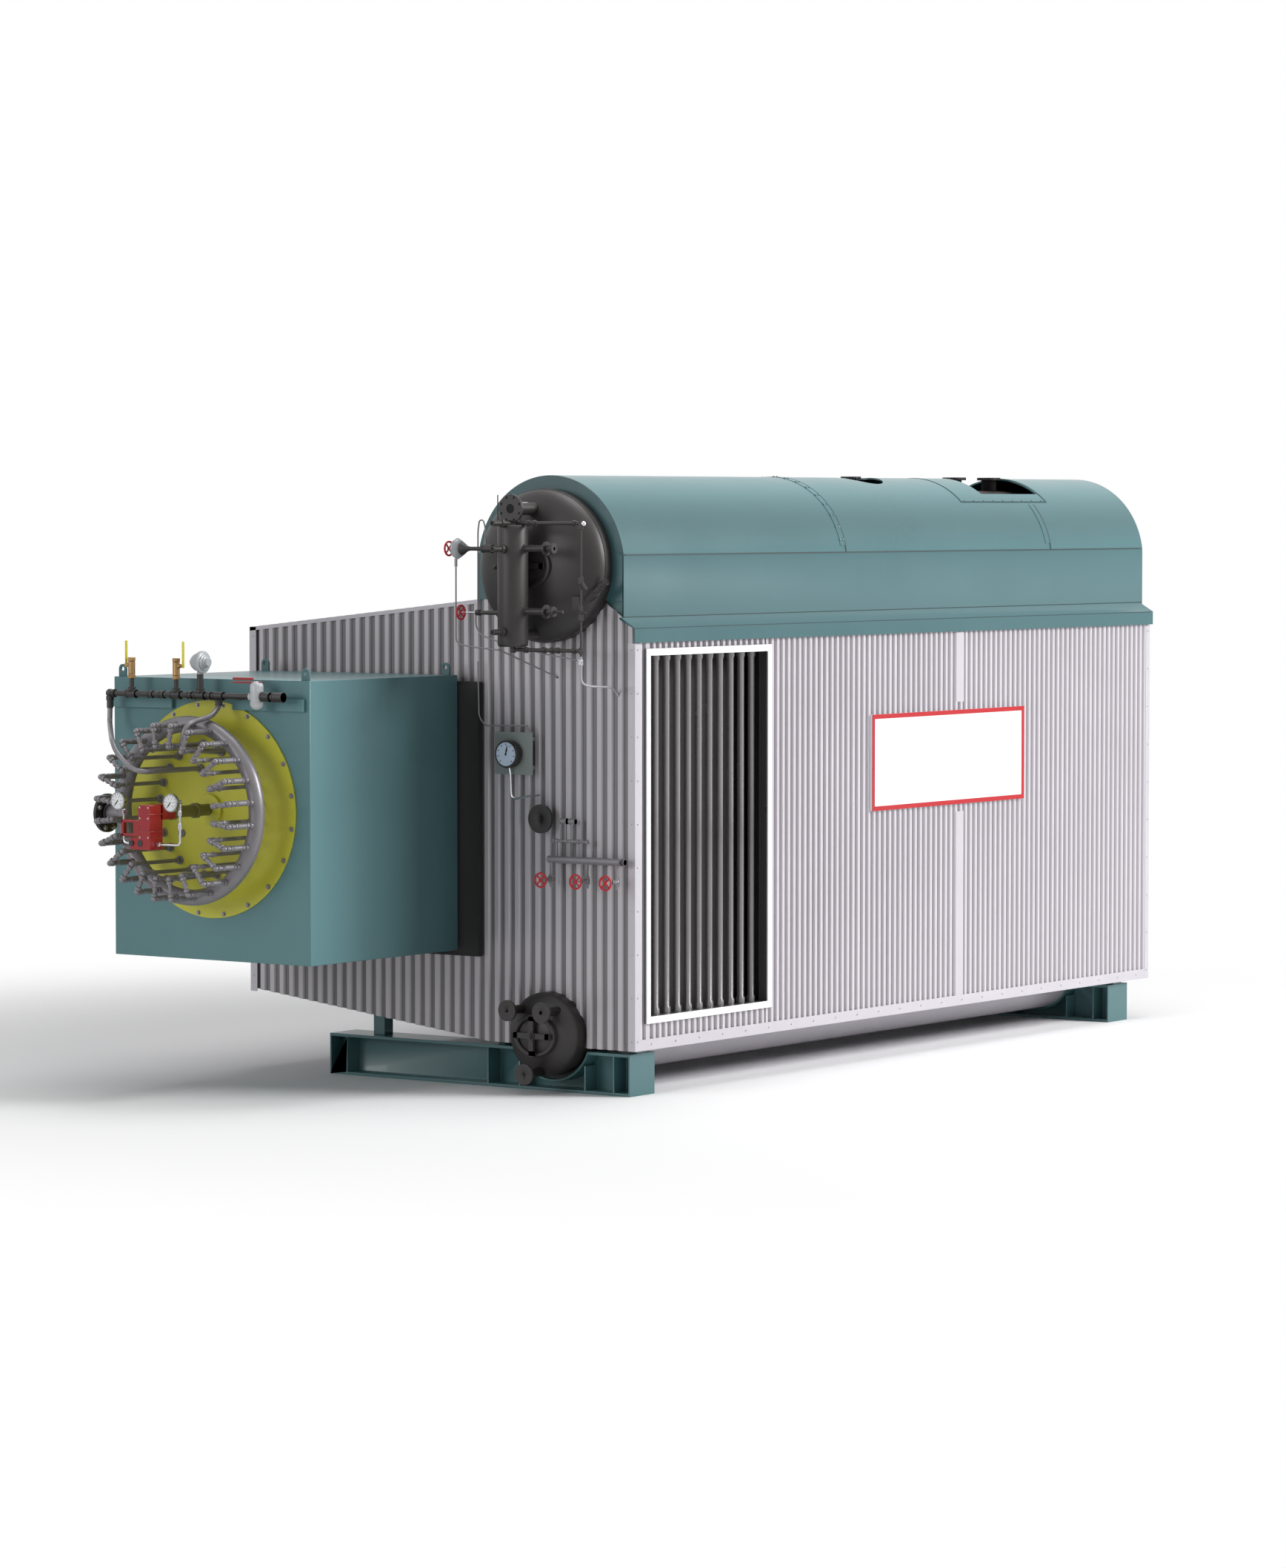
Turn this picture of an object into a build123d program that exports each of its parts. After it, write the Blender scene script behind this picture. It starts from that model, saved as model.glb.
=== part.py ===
from build123d import *
import math
import os

os.makedirs("parts", exist_ok=True)

# Packaged watertube boiler with its burner and windbox, in millimetres.
# While it is drawn, X = 0 is the casing's right face, Y = 0 the front wall and Z = 0 the ground.
# X runs to the right, Y from the burner to the rear and Z up. At the end every piece is moved so
# that the origin is the middle of the whole boiler's footprint, at ground level.

# Fits
joint_gap = 0.5        # between sheets that meet edge to edge
curve_gap = 0.3        # between curved faces that touch
move_gap = 0.3         # between a turning hub and the gland that it sits in

# Casing
casing_width = 3555.0
casing_length = 7288.0
floor_low = 330.0      # underside of the casing beside the mud drum
floor_high = 605.0     # underside at the left edge
floor_knee = 1300.0    # where the sloping floor starts, from the right face
eaves_left = 3320.0    # roof at the left edge
roof_rise = 229.0      # rise of the roof up to the drum cover
wall_thick = 60.0
rib_depth = 20.0
front_rib_pitch = 92.0
side_rib_pitch = 73.0
trim_thick = 3.0
trim_leg = 60.0
sill_trim_height = 80.0
joint_strip_at = 4350.0
joint_strip_width = 110.0

# Drums
drum_x = -748.0
steam_radius = 550.0
steam_z = 3797.0
steam_wall = 40.0
steam_head_depth = 205.0
mud_radius = 303.5
mud_z = 420.0
mud_wall = 30.0
mud_head_depth = 125.0
steam_overhang = 80.0  # straight shell in front of and behind the walls
mud_overhang = 65.0
lagging_thick = 30.0
yoke_half = 16.0       # half height of a manway yoke
steam_manway = (150.0, (14.0, 8.0, 14.0, 12.0))
mud_manway = (145.0, (22.0, 14.0, 24.0, 26.0))
drum_clear = curve_gap # between a drum and the sheet cut round it

# Drum cover
cover_radius = 654.0
cover_top = 4446.0
cover_half = 649.0
cover_seam_z = 3873.0
cover_thick = 12.0
cover_length = 7336.0
cover_joints = (2851.0, 5833.0)
skirt_break_z = 3431.0
fascia_top = 3360.0
fascia_bottom = 3253.0
fascia_out = 25.0
skirt_front = -36.0
skirt_rear = 7300.0
end_plate_thick = 16.0
vent_y = 3936.0
vent_hole_radius = 250.0
vent_pipe_radius = 45.0
relief_ys = (5450.0, 5975.0)
relief_pipe_radius = 60.0
relief_slot = (5240.0, 6090.0)
relief_slot_half = 384.0

# Flue gas outlet in the right wall
outlet_y0 = 162.0
outlet_y1 = 1654.0
outlet_z0 = 571.0
outlet_z1 = 3158.0
outlet_rim = 50.0
outlet_proud = 25.0
outlet_lining = 8.0
tube_radius = 25.4
tube_pitch = 136.0
tube_count = 11
tube_first_y = 258.0
tube_x = -105.0
collar_radius = 33.0
collar_height = 60.0
header_depth = 110.0
header_height = 90.0
baffle_x = -260.0

# Sign board, left bare
sign_y0 = 3065.0
sign_y1 = 5272.0
sign_z0 = 1909.0
sign_z1 = 2643.0
sign_thick = 22.0
sign_border_width = 22.0
sign_border_thick = 4.0

# Base
beam_height = 305.0
beam_width = 309.0
beam_web = 16.0
beam_flange = 22.0
beam_x0 = -2806.0
beam_x1 = -57.0
front_beam_y = 167.0
rear_beam_y = 6894.0
stiffener_xs = (-2646.0, -1330.0, -200.0)
post_x = -2421.0
post_width = 102.0

# Windbox and throat
windbox_x0 = -3340.0
windbox_x1 = -1525.0
windbox_front = -1786.0
windbox_rear = -90.0
windbox_z0 = 992.0
windbox_z1 = 2999.0
windbox_plate = 8.0
throat_x0 = -3480.0
throat_x1 = -1367.0
throat_z0 = 949.0
throat_z1 = 2950.0
lug_width = 70.0
lug_thick = 16.0
lug_hole = 16.0

# Burner
burner_x = -2424.0
burner_z = 2072.0
plate_radius = 776.0
plate_thick = 16.0
ring_radius = 616.0
ring_pipe = 57.0
ring_offset = 230.0    # ring centre in front of the plate
injector_count = 24
injector_radius = 15.0
injector_reach = 270.0 # from the ring forward to the elbow
lance_circle = 470.0
inlet_radius = 57.0
inlet_flange_radius = 139.0
inlet_flange_x = -3209.0
gun_length = 690.0
gun_radius = 38.0

# Pilot gas header above the burner
header_y = -1930.0
header_z = 2885.0
header_radius = 21.0
header_x0 = -3254.0
header_x1 = -1654.0
ball_valve_xs = (-3042.0, -2621.0)
ball_valve_sides = (-1, 1)   # the side that each lever stands on
switch_x = -2366.0
relief_x = -1884.0

# Water column in front of the steam drum
column_y = -450.0
column_radius = 110.0
column_z0 = 3222.0
column_z1 = 4093.0
column_flange_z = 4204.0
gauge_glass_x = -147.0

# Front wall fittings
gauge_panel_x = (-1193.0, -855.0)
gauge_panel_z = (2288.0, 2595.0)
dial_x = -1040.0
dial_z = 2437.0
dial_radius = 100.0
wall_nozzle_x = -784.0
wall_nozzle_z = 1975.0
manifold_y = -75.0
manifold_z = 1688.0
manifold_x = (-713.0, -33.0)
drain_valve_xs = (-683.0, -373.0, -110.0)
drain_valve_z = 1545.0
wheel_radius = 57.0
wheel_rim = 12.0

# Where the panels and slopes work out to
cover_centre_z = cover_top - cover_radius
roof_edge_x = drum_x - cover_half
roof_edge_z = eaves_left + roof_rise
wall_rear_y = casing_length
burner_face = windbox_front - plate_thick


def rod(start, end, radius):
    """A round bar from one point to another."""
    a, b = Vector(*start), Vector(*end)
    return Solid.make_cylinder(radius, (b - a).length, Plane(origin=a, z_dir=b - a))


def block(x0, x1, y0, y1, z0, z1):
    """A square block between two corners."""
    corner = Location((min(x0, x1), min(y0, y1), min(z0, z1)))
    return Solid.make_box(abs(x1 - x0), abs(y1 - y0), abs(z1 - z0)).moved(corner)


def prism_y(points, y0, y1):
    """An outline of (x, z) points, extruded along Y."""
    face = Face(Wire.make_polygon([(x, y0, z) for x, z in points]))
    return Solid.extrude(face, Vector(0, y1 - y0, 0))


def prism_z(points, z0, z1):
    """An outline of (x, y) points, extruded along Z."""
    face = Face(Wire.make_polygon([(x, y, z0) for x, y in points]))
    return Solid.extrude(face, Vector(0, 0, z1 - z0))


def bar(points, radius, sides=6):
    """A bar of few sides along a bent path, with mitred corners."""
    path = Polyline(*points)
    section = Plane(origin=path @ 0, z_dir=path % 0) * RegularPolygon(radius, sides)
    return sweep(section, path=path, transition=Transition.RIGHT)


def rib_outline(length, pitch):
    """Outline of a ribbed sheet on its backing, as (along, out) points with the crests at 0."""
    crest, flank = 0.38 * pitch, 0.17 * pitch
    points = []
    for i in range(math.ceil(length / pitch)):
        start = i * pitch
        for along, out in ((0, 0), (crest, 0), (crest + flank, -rib_depth), (pitch - flank, -rib_depth)):
            if start + along < length:
                points.append((start + along, out))
    points.append((length, points[-1][1]))
    return points + [(length, -wall_thick), (0, -wall_thick)]


def ribbed_side(y0, y1, z0, z1, face_x, outward):
    """A ribbed side panel with upright ribs; outward is +1 on the right wall, -1 on the left."""
    outline = rib_outline(y1 - y0, side_rib_pitch)
    return prism_z([(face_x + outward * out, y0 + along) for along, out in outline], z0, z1)


def fuse(first, *others):
    """One solid from several that touch."""
    result = first.fuse(*others)
    return result.clean() if hasattr(result, "clean") else result


def end_wall(face_y, outward):
    """A ribbed front or rear wall, cut to the roof, the floor and both drums."""
    outline = rib_outline(casing_width, front_rib_pitch)
    sheet = prism_z([(-casing_width + along, face_y + outward * out) for along, out in outline], 0, cover_top)
    peak_z = 3532.0
    peak_x = 493.0
    shape = [
        (-casing_width, floor_high), (-floor_knee, floor_low), (0, floor_low), (0, fascia_top),
        (drum_x + peak_x, peak_z), (drum_x, peak_z), (drum_x - peak_x, roof_edge_z),
        (roof_edge_x, roof_edge_z), (-casing_width, eaves_left),
    ]
    wall = sheet & prism_y(shape, face_y - 100, face_y + 100)
    steam_cut = rod((drum_x, face_y - 150, steam_z), (drum_x, face_y + 150, steam_z), steam_radius + drum_clear)
    mud_cut = rod((drum_x, face_y - 150, mud_z), (drum_x, face_y + 150, mud_z), mud_radius + drum_clear)
    return wall - steam_cut - mud_cut


def drum_shell(radius, wall, z, overhang):
    """A drum's round shell, open at both ends."""
    ends = (-overhang, casing_length + overhang)
    outer = rod((drum_x, ends[0], z), (drum_x, ends[1], z), radius)
    return outer - rod((drum_x, ends[0], z), (drum_x, ends[1], z), radius - wall)


def drum_head(radius, z, overhang, depth, rear):
    """A dished head: a crown of large radius turned into a small knuckle."""
    lip = 0.93 * radius
    rise = 0.72 * depth
    profile = Face(Wire([
        Edge.make_line((0, 0), (radius, 0)),
        Edge.make_spline([(radius, 0), (lip, depth - rise), (0, depth)], tangents=[(0, 1), (-1, 0)]),
        Edge.make_line((0, depth), (0, 0)),
    ]))
    head = Solid.revolve(profile, 360, Axis.Y)
    if rear:
        return head.moved(Location((drum_x, casing_length + overhang, z)))
    return head.rotate(Axis.Z, 180).moved(Location((drum_x, -overhang, z)))


def manway(z, overhang, depth, rear, rim, steps):
    """Manway neck and cover on a head, with the cross yoke that pulls the cover shut.

    steps are the thicknesses of the neck, cover, yoke and stud, from the head outwards.
    """
    sign = 1 if rear else -1
    crown = (casing_length + overhang + depth) if rear else -(overhang + depth)
    levels = [crown]
    for step in steps:
        levels.append(levels[-1] + sign * step)
    neck, cover, beam, stud = levels[1:]
    half = 0.95 * rim
    return fuse(
        rod((drum_x, crown - sign * 40, z), (drum_x, neck, z), rim),
        rod((drum_x, neck, z), (drum_x, cover, z), 0.72 * rim),
        block(drum_x - half, drum_x + half, cover, beam, z - yoke_half, z + yoke_half),
        rod((drum_x, beam, z), (drum_x, stud, z), 0.8 * yoke_half))


def off_head(piece, name, rear):
    """What is left of a piece outside a drum's head, a hair clear of it."""
    step = curve_gap if rear else -curve_gap
    head = nodes[name][1 if rear else 0].moved(Location((0, step, 0)))
    return max((piece - head).solids(), key=lambda solid: solid.volume)


def flange(centre, direction, radius, thick, pipe, reach, bore=0.0):
    """A round flange with its pipe stub behind it; centre is the flange's outer face."""
    c, d = Vector(*centre), Vector(*direction)
    body = fuse(rod(c, c - d * thick, radius), rod(c - d * thick, c - d * reach, pipe))
    return body - rod(c, c - d * 0.8 * reach, bore) if bore else body


def cover_sheet(y0, y1):
    """One curved section of the drum cover."""
    centre = (drum_x, cover_centre_z)
    outer = rod((centre[0], y0, centre[1]), (centre[0], y1, centre[1]), cover_radius)
    inner = rod((centre[0], y0, centre[1]), (centre[0], y1, centre[1]), cover_radius - cover_thick)
    keep = block(drum_x - 700, drum_x + 700, y0, y1, cover_seam_z, cover_top + 10)
    return (outer - inner) & keep


def beam_section(y, x0, x1):
    """A wide-flange beam along X with its web upright."""
    half, web = beam_width / 2, beam_web / 2
    low, high = beam_flange, beam_height - beam_flange
    outline = [
        (y - half, 0), (y + half, 0), (y + half, low), (y + web, low), (y + web, high), (y + half, high),
        (y + half, beam_height), (y - half, beam_height), (y - half, high), (y - web, high), (y - web, low),
        (y - half, low),
    ]
    face = Face(Wire.make_polygon([(x0, a, b) for a, b in outline]))
    return Solid.extrude(face, Vector(x1 - x0, 0, 0))


def base_beam(y):
    """A base beam notched round the mud drum, with a saddle plate, stiffeners and end plates."""
    half = beam_width / 2
    lagging = mud_radius + lagging_thick
    notch = lagging + curve_gap
    beam = beam_section(y, beam_x0, beam_x1)
    saddle = rod((drum_x, y - half, mud_z), (drum_x, y + half, mud_z), notch + 16)
    saddle = saddle & block(drum_x - 500, drum_x + 500, y - half, y + half, 0, beam_height)
    plates = [block(x - 6, x + 6, y - half, y + half, 0, beam_height) for x in stiffener_xs]
    plates += [block(x, x + 12, y - half, y + half, 0, beam_height) for x in (beam_x0, beam_x1 - 12)]
    for side in (-1, 1):
        toe = drum_x + side * (notch - 40)
        plates.append(block(toe - 6, toe + 6, y - half, y + half, 0, 200))
    cut = rod((drum_x, y - half - 5, mud_z), (drum_x, y + half + 5, mud_z), notch)
    return fuse(beam, saddle, *plates) - cut


def hand_wheel(centre, direction, hub_back):
    """A spoked handwheel with its spindle; direction points from the valve to the wheel."""
    plane = Plane(origin=Vector(*centre) - Vector(*direction) * (wheel_rim / 2), z_dir=Vector(*direction))
    rim = RegularPolygon(wheel_radius, 20) - RegularPolygon(wheel_radius - wheel_rim, 20)
    spokes = [Rot(0, 0, 45 + 90 * i) * Pos(25, 0) * Rectangle(2 * wheel_radius - 60, 8) for i in range(4)]
    shape = rim + Circle(13)
    for spoke in spokes:
        shape = shape + (spoke & Circle(wheel_radius - 4))
    wheel = extrude(plane * shape, wheel_rim)
    c, d = Vector(*centre), Vector(*direction)
    spindle = rod(c - d * hub_back, c, 6)
    return fuse(wheel.solids()[0] if hasattr(wheel, "solids") else wheel, spindle)


def lug(x, y, z, along_x):
    """A lifting lug: an upright plate with a round head and an eye."""
    half = lug_width / 2
    eye = z + 55
    if along_x:
        plate = block(x - half, x + half, y - lug_thick / 2, y + lug_thick / 2, z, eye)
        head = rod((x, y - lug_thick / 2, eye), (x, y + lug_thick / 2, eye), half)
        hole = rod((x, y - lug_thick, eye), (x, y + lug_thick, eye), lug_hole)
    else:
        plate = block(x - lug_thick / 2, x + lug_thick / 2, y - half, y + half, z, eye)
        head = rod((x - lug_thick / 2, y, eye), (x + lug_thick / 2, y, eye), half)
        hole = rod((x - lug_thick, y, eye), (x + lug_thick, y, eye), lug_hole)
    return fuse(plate, head) - hole


nodes = {}
pivots = {}

# Casing walls
nodes["front_wall"] = end_wall(0.0, -1)
nodes["rear_wall"] = end_wall(casing_length, 1)
side_y0 = wall_thick + joint_gap
side_y1 = casing_length - wall_thick - joint_gap
nodes["left_wall"] = ribbed_side(side_y0, side_y1, floor_high + 5, eaves_left - 5, -casing_width, -1)

hole_y0, hole_y1 = outlet_y0 - outlet_lining, outlet_y1 + outlet_lining
hole_z0, hole_z1 = outlet_z0 - outlet_lining, outlet_z1 + outlet_lining
right_z1 = fascia_top - 6
nodes["right_wall"] = [
    ribbed_side(side_y0, hole_y0 - joint_gap, floor_low, right_z1, 0, 1),
    ribbed_side(hole_y0, hole_y1, floor_low, hole_z0, 0, 1),
    ribbed_side(hole_y0, hole_y1, hole_z1, right_z1, 0, 1),
    ribbed_side(hole_y1 + joint_gap, side_y1, floor_low, right_z1, 0, 1),
]

# Roof and floor
inner_x0 = -casing_width + wall_thick + joint_gap
slope_roof = roof_rise / (casing_width + roof_edge_x)
slope_floor = (floor_high - floor_low) / (casing_width - floor_knee)
roof_thick = 60.0


def roof_z(x):
    """Height of the roof's upper face."""
    return eaves_left + (x + casing_width) * slope_roof


roof_x1 = roof_edge_x - joint_gap
nodes["roof"] = prism_y(
    [(-casing_width, roof_z(-casing_width)), (roof_x1, roof_z(roof_x1)),
     (roof_x1, roof_z(roof_x1) - roof_thick), (inner_x0, roof_z(inner_x0) - roof_thick),
     (inner_x0, eaves_left - 5), (-casing_width, eaves_left - 5)], side_y0, side_y1)
floor_sheet = prism_y(
    [(-casing_width, floor_high), (-floor_knee, floor_low), (drum_x, floor_low), (drum_x, floor_low + 60),
     (-floor_knee, floor_low + 60), (inner_x0, floor_high + 60), (inner_x0, floor_high + 5),
     (-casing_width, floor_high + 5)], side_y0, side_y1)
right_strip = block(drum_x, -wall_thick - joint_gap, side_y0, side_y1, floor_low, floor_low + 60)
drum_way = rod((drum_x, 0, mud_z), (drum_x, casing_length, mud_z), mud_radius + lagging_thick + curve_gap)
nodes["floor"] = [floor_sheet - drum_way, right_strip - drum_way]

# Corner angles, sill trims and the joint strip on the casing
outer = trim_thick
trims = []
for y_face, out in ((0.0, -1), (casing_length, 1)):
    y_out = y_face + out * outer
    trims.append(fuse(
        block(-trim_leg, outer, y_face, y_out, floor_low, fascia_bottom - 5),
        block(0, outer, y_face, y_face - out * trim_leg, floor_low, fascia_bottom - 5)))
    trims.append(fuse(
        block(-casing_width - outer, -casing_width + trim_leg, y_face, y_out, floor_high - 25, eaves_left),
        block(-casing_width - outer, -casing_width, y_face, y_face - out * trim_leg,
              floor_high - 25, eaves_left)))
for z_low, z_high in ((floor_low, sign_z0 - 60), (sign_z1 + 60, fascia_bottom - 5)):
    half_strip = joint_strip_width / 2
    low = z_low + sill_trim_height + joint_gap if z_low == floor_low else z_low
    trims.append(block(0, outer, joint_strip_at - half_strip, joint_strip_at + half_strip, low, z_high))
trims.append(block(0, outer, trim_leg + joint_gap, casing_length - trim_leg - joint_gap,
                   floor_low, floor_low + sill_trim_height))
nodes["casing_trim"] = trims

# Flue gas outlet: white frame, tubes with swaged ends, headers and baffle
frame = block(0, outlet_proud, outlet_y0 - outlet_rim, outlet_y1 + outlet_rim,
              outlet_z0 - outlet_rim, outlet_z1 + outlet_rim)
lining = block(-wall_thick, 0, hole_y0 + joint_gap, hole_y1 - joint_gap, hole_z0 + joint_gap, hole_z1 - joint_gap)
opening = block(-wall_thick - 5, outlet_proud + 5, outlet_y0, outlet_y1, outlet_z0, outlet_z1)
nodes["flue_outlet_frame"] = fuse(frame, lining) - opening
header_z0 = outlet_z0 - 15
header_z1 = outlet_z1 + 15
tubes = []
for i in range(tube_count):
    y = tube_first_y + i * tube_pitch
    tubes.append(fuse(
        rod((tube_x, y, header_z0), (tube_x, y, header_z1), tube_radius),
        rod((tube_x, y, header_z0), (tube_x, y, header_z0 + collar_height), collar_radius),
        rod((tube_x, y, header_z1 - collar_height), (tube_x, y, header_z1), collar_radius)))
nodes["bank_tubes"] = tubes
header_x = -wall_thick - joint_gap
nodes["bank_headers"] = [
    block(header_x - header_depth, header_x, side_y0 + 10, outlet_y1 + 120, header_z0 - header_height, header_z0),
    block(header_x - header_depth, header_x, side_y0 + 10, outlet_y1 + 120, header_z1, header_z1 + header_height),
    block(header_x, header_x - header_depth, outlet_y1 + 40, outlet_y1 + 60, header_z0, header_z1),
]
nodes["gas_baffle"] = block(baffle_x - 8, baffle_x, side_y0, outlet_y1 + 400, floor_low + 60, header_z1 + 60)

# Sign board
sign_x = 0.0
nodes["sign_panel"] = block(sign_x, sign_x + sign_thick, sign_y0, sign_y1, sign_z0, sign_z1)
sign_face = sign_x + sign_thick
border = block(sign_face, sign_face + sign_border_thick, sign_y0, sign_y1, sign_z0, sign_z1)
nodes["sign_border"] = border - block(
    sign_face - 1, sign_face + 10, sign_y0 + sign_border_width, sign_y1 - sign_border_width,
    sign_z0 + sign_border_width, sign_z1 - sign_border_width)

# Drum cover: three curved sections, skirts down both sides and end plates
edges = [end_plate_thick] + list(cover_joints) + [cover_length - end_plate_thick]
sections = []
for i in range(3):
    sections.append(cover_sheet(edges[i] + (joint_gap if i else 0), edges[i + 1]))
slot = block(drum_x - relief_slot_half, drum_x + relief_slot_half, *relief_slot, steam_z, cover_top + 50)
vent = rod((drum_x, vent_y, steam_z), (drum_x, vent_y, cover_top + 50), vent_hole_radius)
sections[1] = sections[1] - vent - slot
sections[2] = sections[2] - slot
nodes["drum_cover"] = sections

right_x = drum_x + cover_half
t = cover_thick
band = block(right_x - t, right_x, joint_gap, cover_length, skirt_break_z - t, cover_seam_z - joint_gap)
flashing = prism_y(
    [(right_x, skirt_break_z), (fascia_out, fascia_top), (fascia_out, fascia_bottom),
     (fascia_out - t, fascia_bottom), (fascia_out - t, fascia_top - t / 2),
     (right_x - t, skirt_break_z - t), (right_x - t, skirt_break_z)], skirt_front, skirt_rear)
nodes["cover_skirt_right"] = fuse(band, flashing)
nodes["cover_skirt_left"] = block(
    roof_edge_x, roof_edge_x + t, end_plate_thick, cover_length - end_plate_thick,
    roof_edge_z - 80, cover_seam_z - joint_gap)

for wall in ("front_wall", "rear_wall"):
    cut = nodes[wall] - nodes["cover_skirt_right"] - nodes["cover_skirt_left"]
    nodes[wall] = max(cut.solids(), key=lambda solid: solid.volume)


def cover_end(y0, y1):
    """The plate that closes an end of the cover round the drum."""
    disc = rod((drum_x, y0, cover_centre_z), (drum_x, y1, cover_centre_z), cover_radius)
    arch = disc & block(drum_x - 700, drum_x + 700, y0, y1, cover_seam_z, cover_top + 10)
    left = drum_x - cover_half
    right = drum_x + cover_half - t - joint_gap
    sill = roof_edge_z + joint_gap
    lower = block(left, right, y0, y1, sill, cover_seam_z)
    hole = rod((drum_x, y0 - 5, steam_z), (drum_x, y1 + 5, steam_z), steam_radius + drum_clear)
    return (fuse(arch, lower) - hole).solids()[0]


nodes["cover_ends"] = [cover_end(0, end_plate_thick), cover_end(cover_length - end_plate_thick, cover_length)]

# Drums, heads and manways
nodes["steam_drum"] = drum_shell(steam_radius, steam_wall, steam_z, steam_overhang)
nodes["mud_drum"] = drum_shell(mud_radius, mud_wall, mud_z, mud_overhang)
nodes["steam_drum_heads"] = [
    drum_head(steam_radius, steam_z, steam_overhang, steam_head_depth, rear) for rear in (False, True)]
nodes["mud_drum_heads"] = [
    drum_head(mud_radius, mud_z, mud_overhang, mud_head_depth, rear) for rear in (False, True)]
manways = []
for name, z, overhang, depth, (rim, steps) in (
        ("steam_drum_heads", steam_z, steam_overhang, steam_head_depth, steam_manway),
        ("mud_drum_heads", mud_z, mud_overhang, mud_head_depth, mud_manway)):
    for rear in (False, True):
        manways.append(off_head(manway(z, overhang, depth, rear, rim, steps), name, rear))
nodes["drum_manways"] = manways
lag_outer = rod((drum_x, wall_thick + 5, mud_z), (drum_x, casing_length - wall_thick - 5, mud_z),
                mud_radius + lagging_thick)
lag_inner = rod((drum_x, 0, mud_z), (drum_x, casing_length, mud_z), mud_radius + curve_gap)
nodes["mud_drum_lagging"] = lag_outer - lag_inner

# Nozzles on top of the steam drum, through the openings of the cover
drum_top = steam_z + steam_radius
nozzles = []
for y, pipe, rim, top in (
        (vent_y, vent_pipe_radius, 80.0, cover_top + 9),
        (relief_ys[0], relief_pipe_radius, 95.0, cover_top + 9),
        (relief_ys[1], relief_pipe_radius, 95.0, cover_top + 9)):
    stub = flange((drum_x, y, top), (0, 0, 1), rim, 22, pipe, top - drum_top + 20, 0.6 * pipe)
    shell = rod((drum_x, y - 200, steam_z), (drum_x, y + 200, steam_z), steam_radius + curve_gap)
    nozzles.append(stub - shell)
nodes["drum_nozzles"] = nozzles

# Base
nodes["base_beam_front"] = base_beam(front_beam_y)
nodes["base_beam_rear"] = base_beam(rear_beam_y)
posts = []
half_post = post_width / 2
for y in (front_beam_y, rear_beam_y):
    low_x, high_x = post_x - half_post, post_x + half_post
    z_low = floor_low + (-floor_knee - low_x) * slope_floor
    z_high = floor_low + (-floor_knee - high_x) * slope_floor
    posts.append(prism_y([(low_x, beam_height), (high_x, beam_height), (high_x, z_high), (low_x, z_low)],
                         y - half_post, y + half_post))
    posts.append(block(-130, -60, y - 60, y + 60, beam_height, floor_low))
    posts.append(block(-floor_knee, -floor_knee + 60, y - 60, y + 60, beam_height, floor_low))
nodes["support_posts"] = posts

# Windbox, throat seal and lugs
box_outer = block(windbox_x0, windbox_x1, windbox_front, windbox_rear, windbox_z0, windbox_z1)
p = windbox_plate
box_inner = block(windbox_x0 + p, windbox_x1 - p, windbox_front + p, windbox_rear - p,
                  windbox_z0 + p, windbox_z1 - p)
box_hole = rod((burner_x, windbox_front - 10, burner_z), (burner_x, windbox_front + p + 10, burner_z),
               0.9 * plate_radius)
nodes["windbox"] = box_outer - box_inner - box_hole
nodes["throat_seal"] = fuse(
    block(throat_x0, throat_x1, windbox_rear + 40, -joint_gap / 2, throat_z0, throat_z1),
    block(windbox_x0 + 60, windbox_x1 - 60, windbox_rear, windbox_rear + 40, throat_z0 + 100, throat_z1 - 60))
nodes["lifting_lugs"] = [
    lug(windbox_x1 - 60, windbox_front + 30, windbox_z1, True),
    lug(windbox_x0 + 60, windbox_front + 30, windbox_z1, True),
    lug(windbox_x1 - 60, windbox_rear - 60, windbox_z1, True),
    lug(windbox_x0 + 60, windbox_rear - 60, windbox_z1, True)]

# Burner plate, gas ring and injectors
nodes["burner_plate"] = rod((burner_x, windbox_front, burner_z), (burner_x, burner_face, burner_z), plate_radius)
ring_y = burner_face - ring_offset
ring = Solid.make_torus(ring_radius, ring_pipe, Plane(origin=(burner_x, ring_y, burner_z), z_dir=(0, 1, 0)))
inlet = fuse(
    rod((burner_x - ring_radius, ring_y, burner_z - 40), (inlet_flange_x + 25, ring_y, burner_z - 40), inlet_radius),
    rod((inlet_flange_x, ring_y - 1, burner_z - 40), (inlet_flange_x + 25, ring_y - 1, burner_z - 40),
        inlet_flange_radius))
nodes["gas_ring"] = fuse(ring, inlet)
injectors = []
front_y = ring_y - ring_pipe
for i in range(injector_count):
    angle = math.radians(360 * i / injector_count)
    turn = (math.cos(angle), math.sin(angle))
    far = (burner_x + ring_radius * turn[0], burner_z + ring_radius * turn[1])
    near = (burner_x + lance_circle * turn[0], burner_z + lance_circle * turn[1])
    elbow = front_y - injector_reach
    injectors.append(bar([(far[0], front_y - curve_gap, far[1]), (far[0], elbow, far[1]),
                          (near[0], elbow, near[1]), (near[0], burner_face, near[1])], injector_radius))
nodes["gas_injectors"] = injectors

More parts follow.
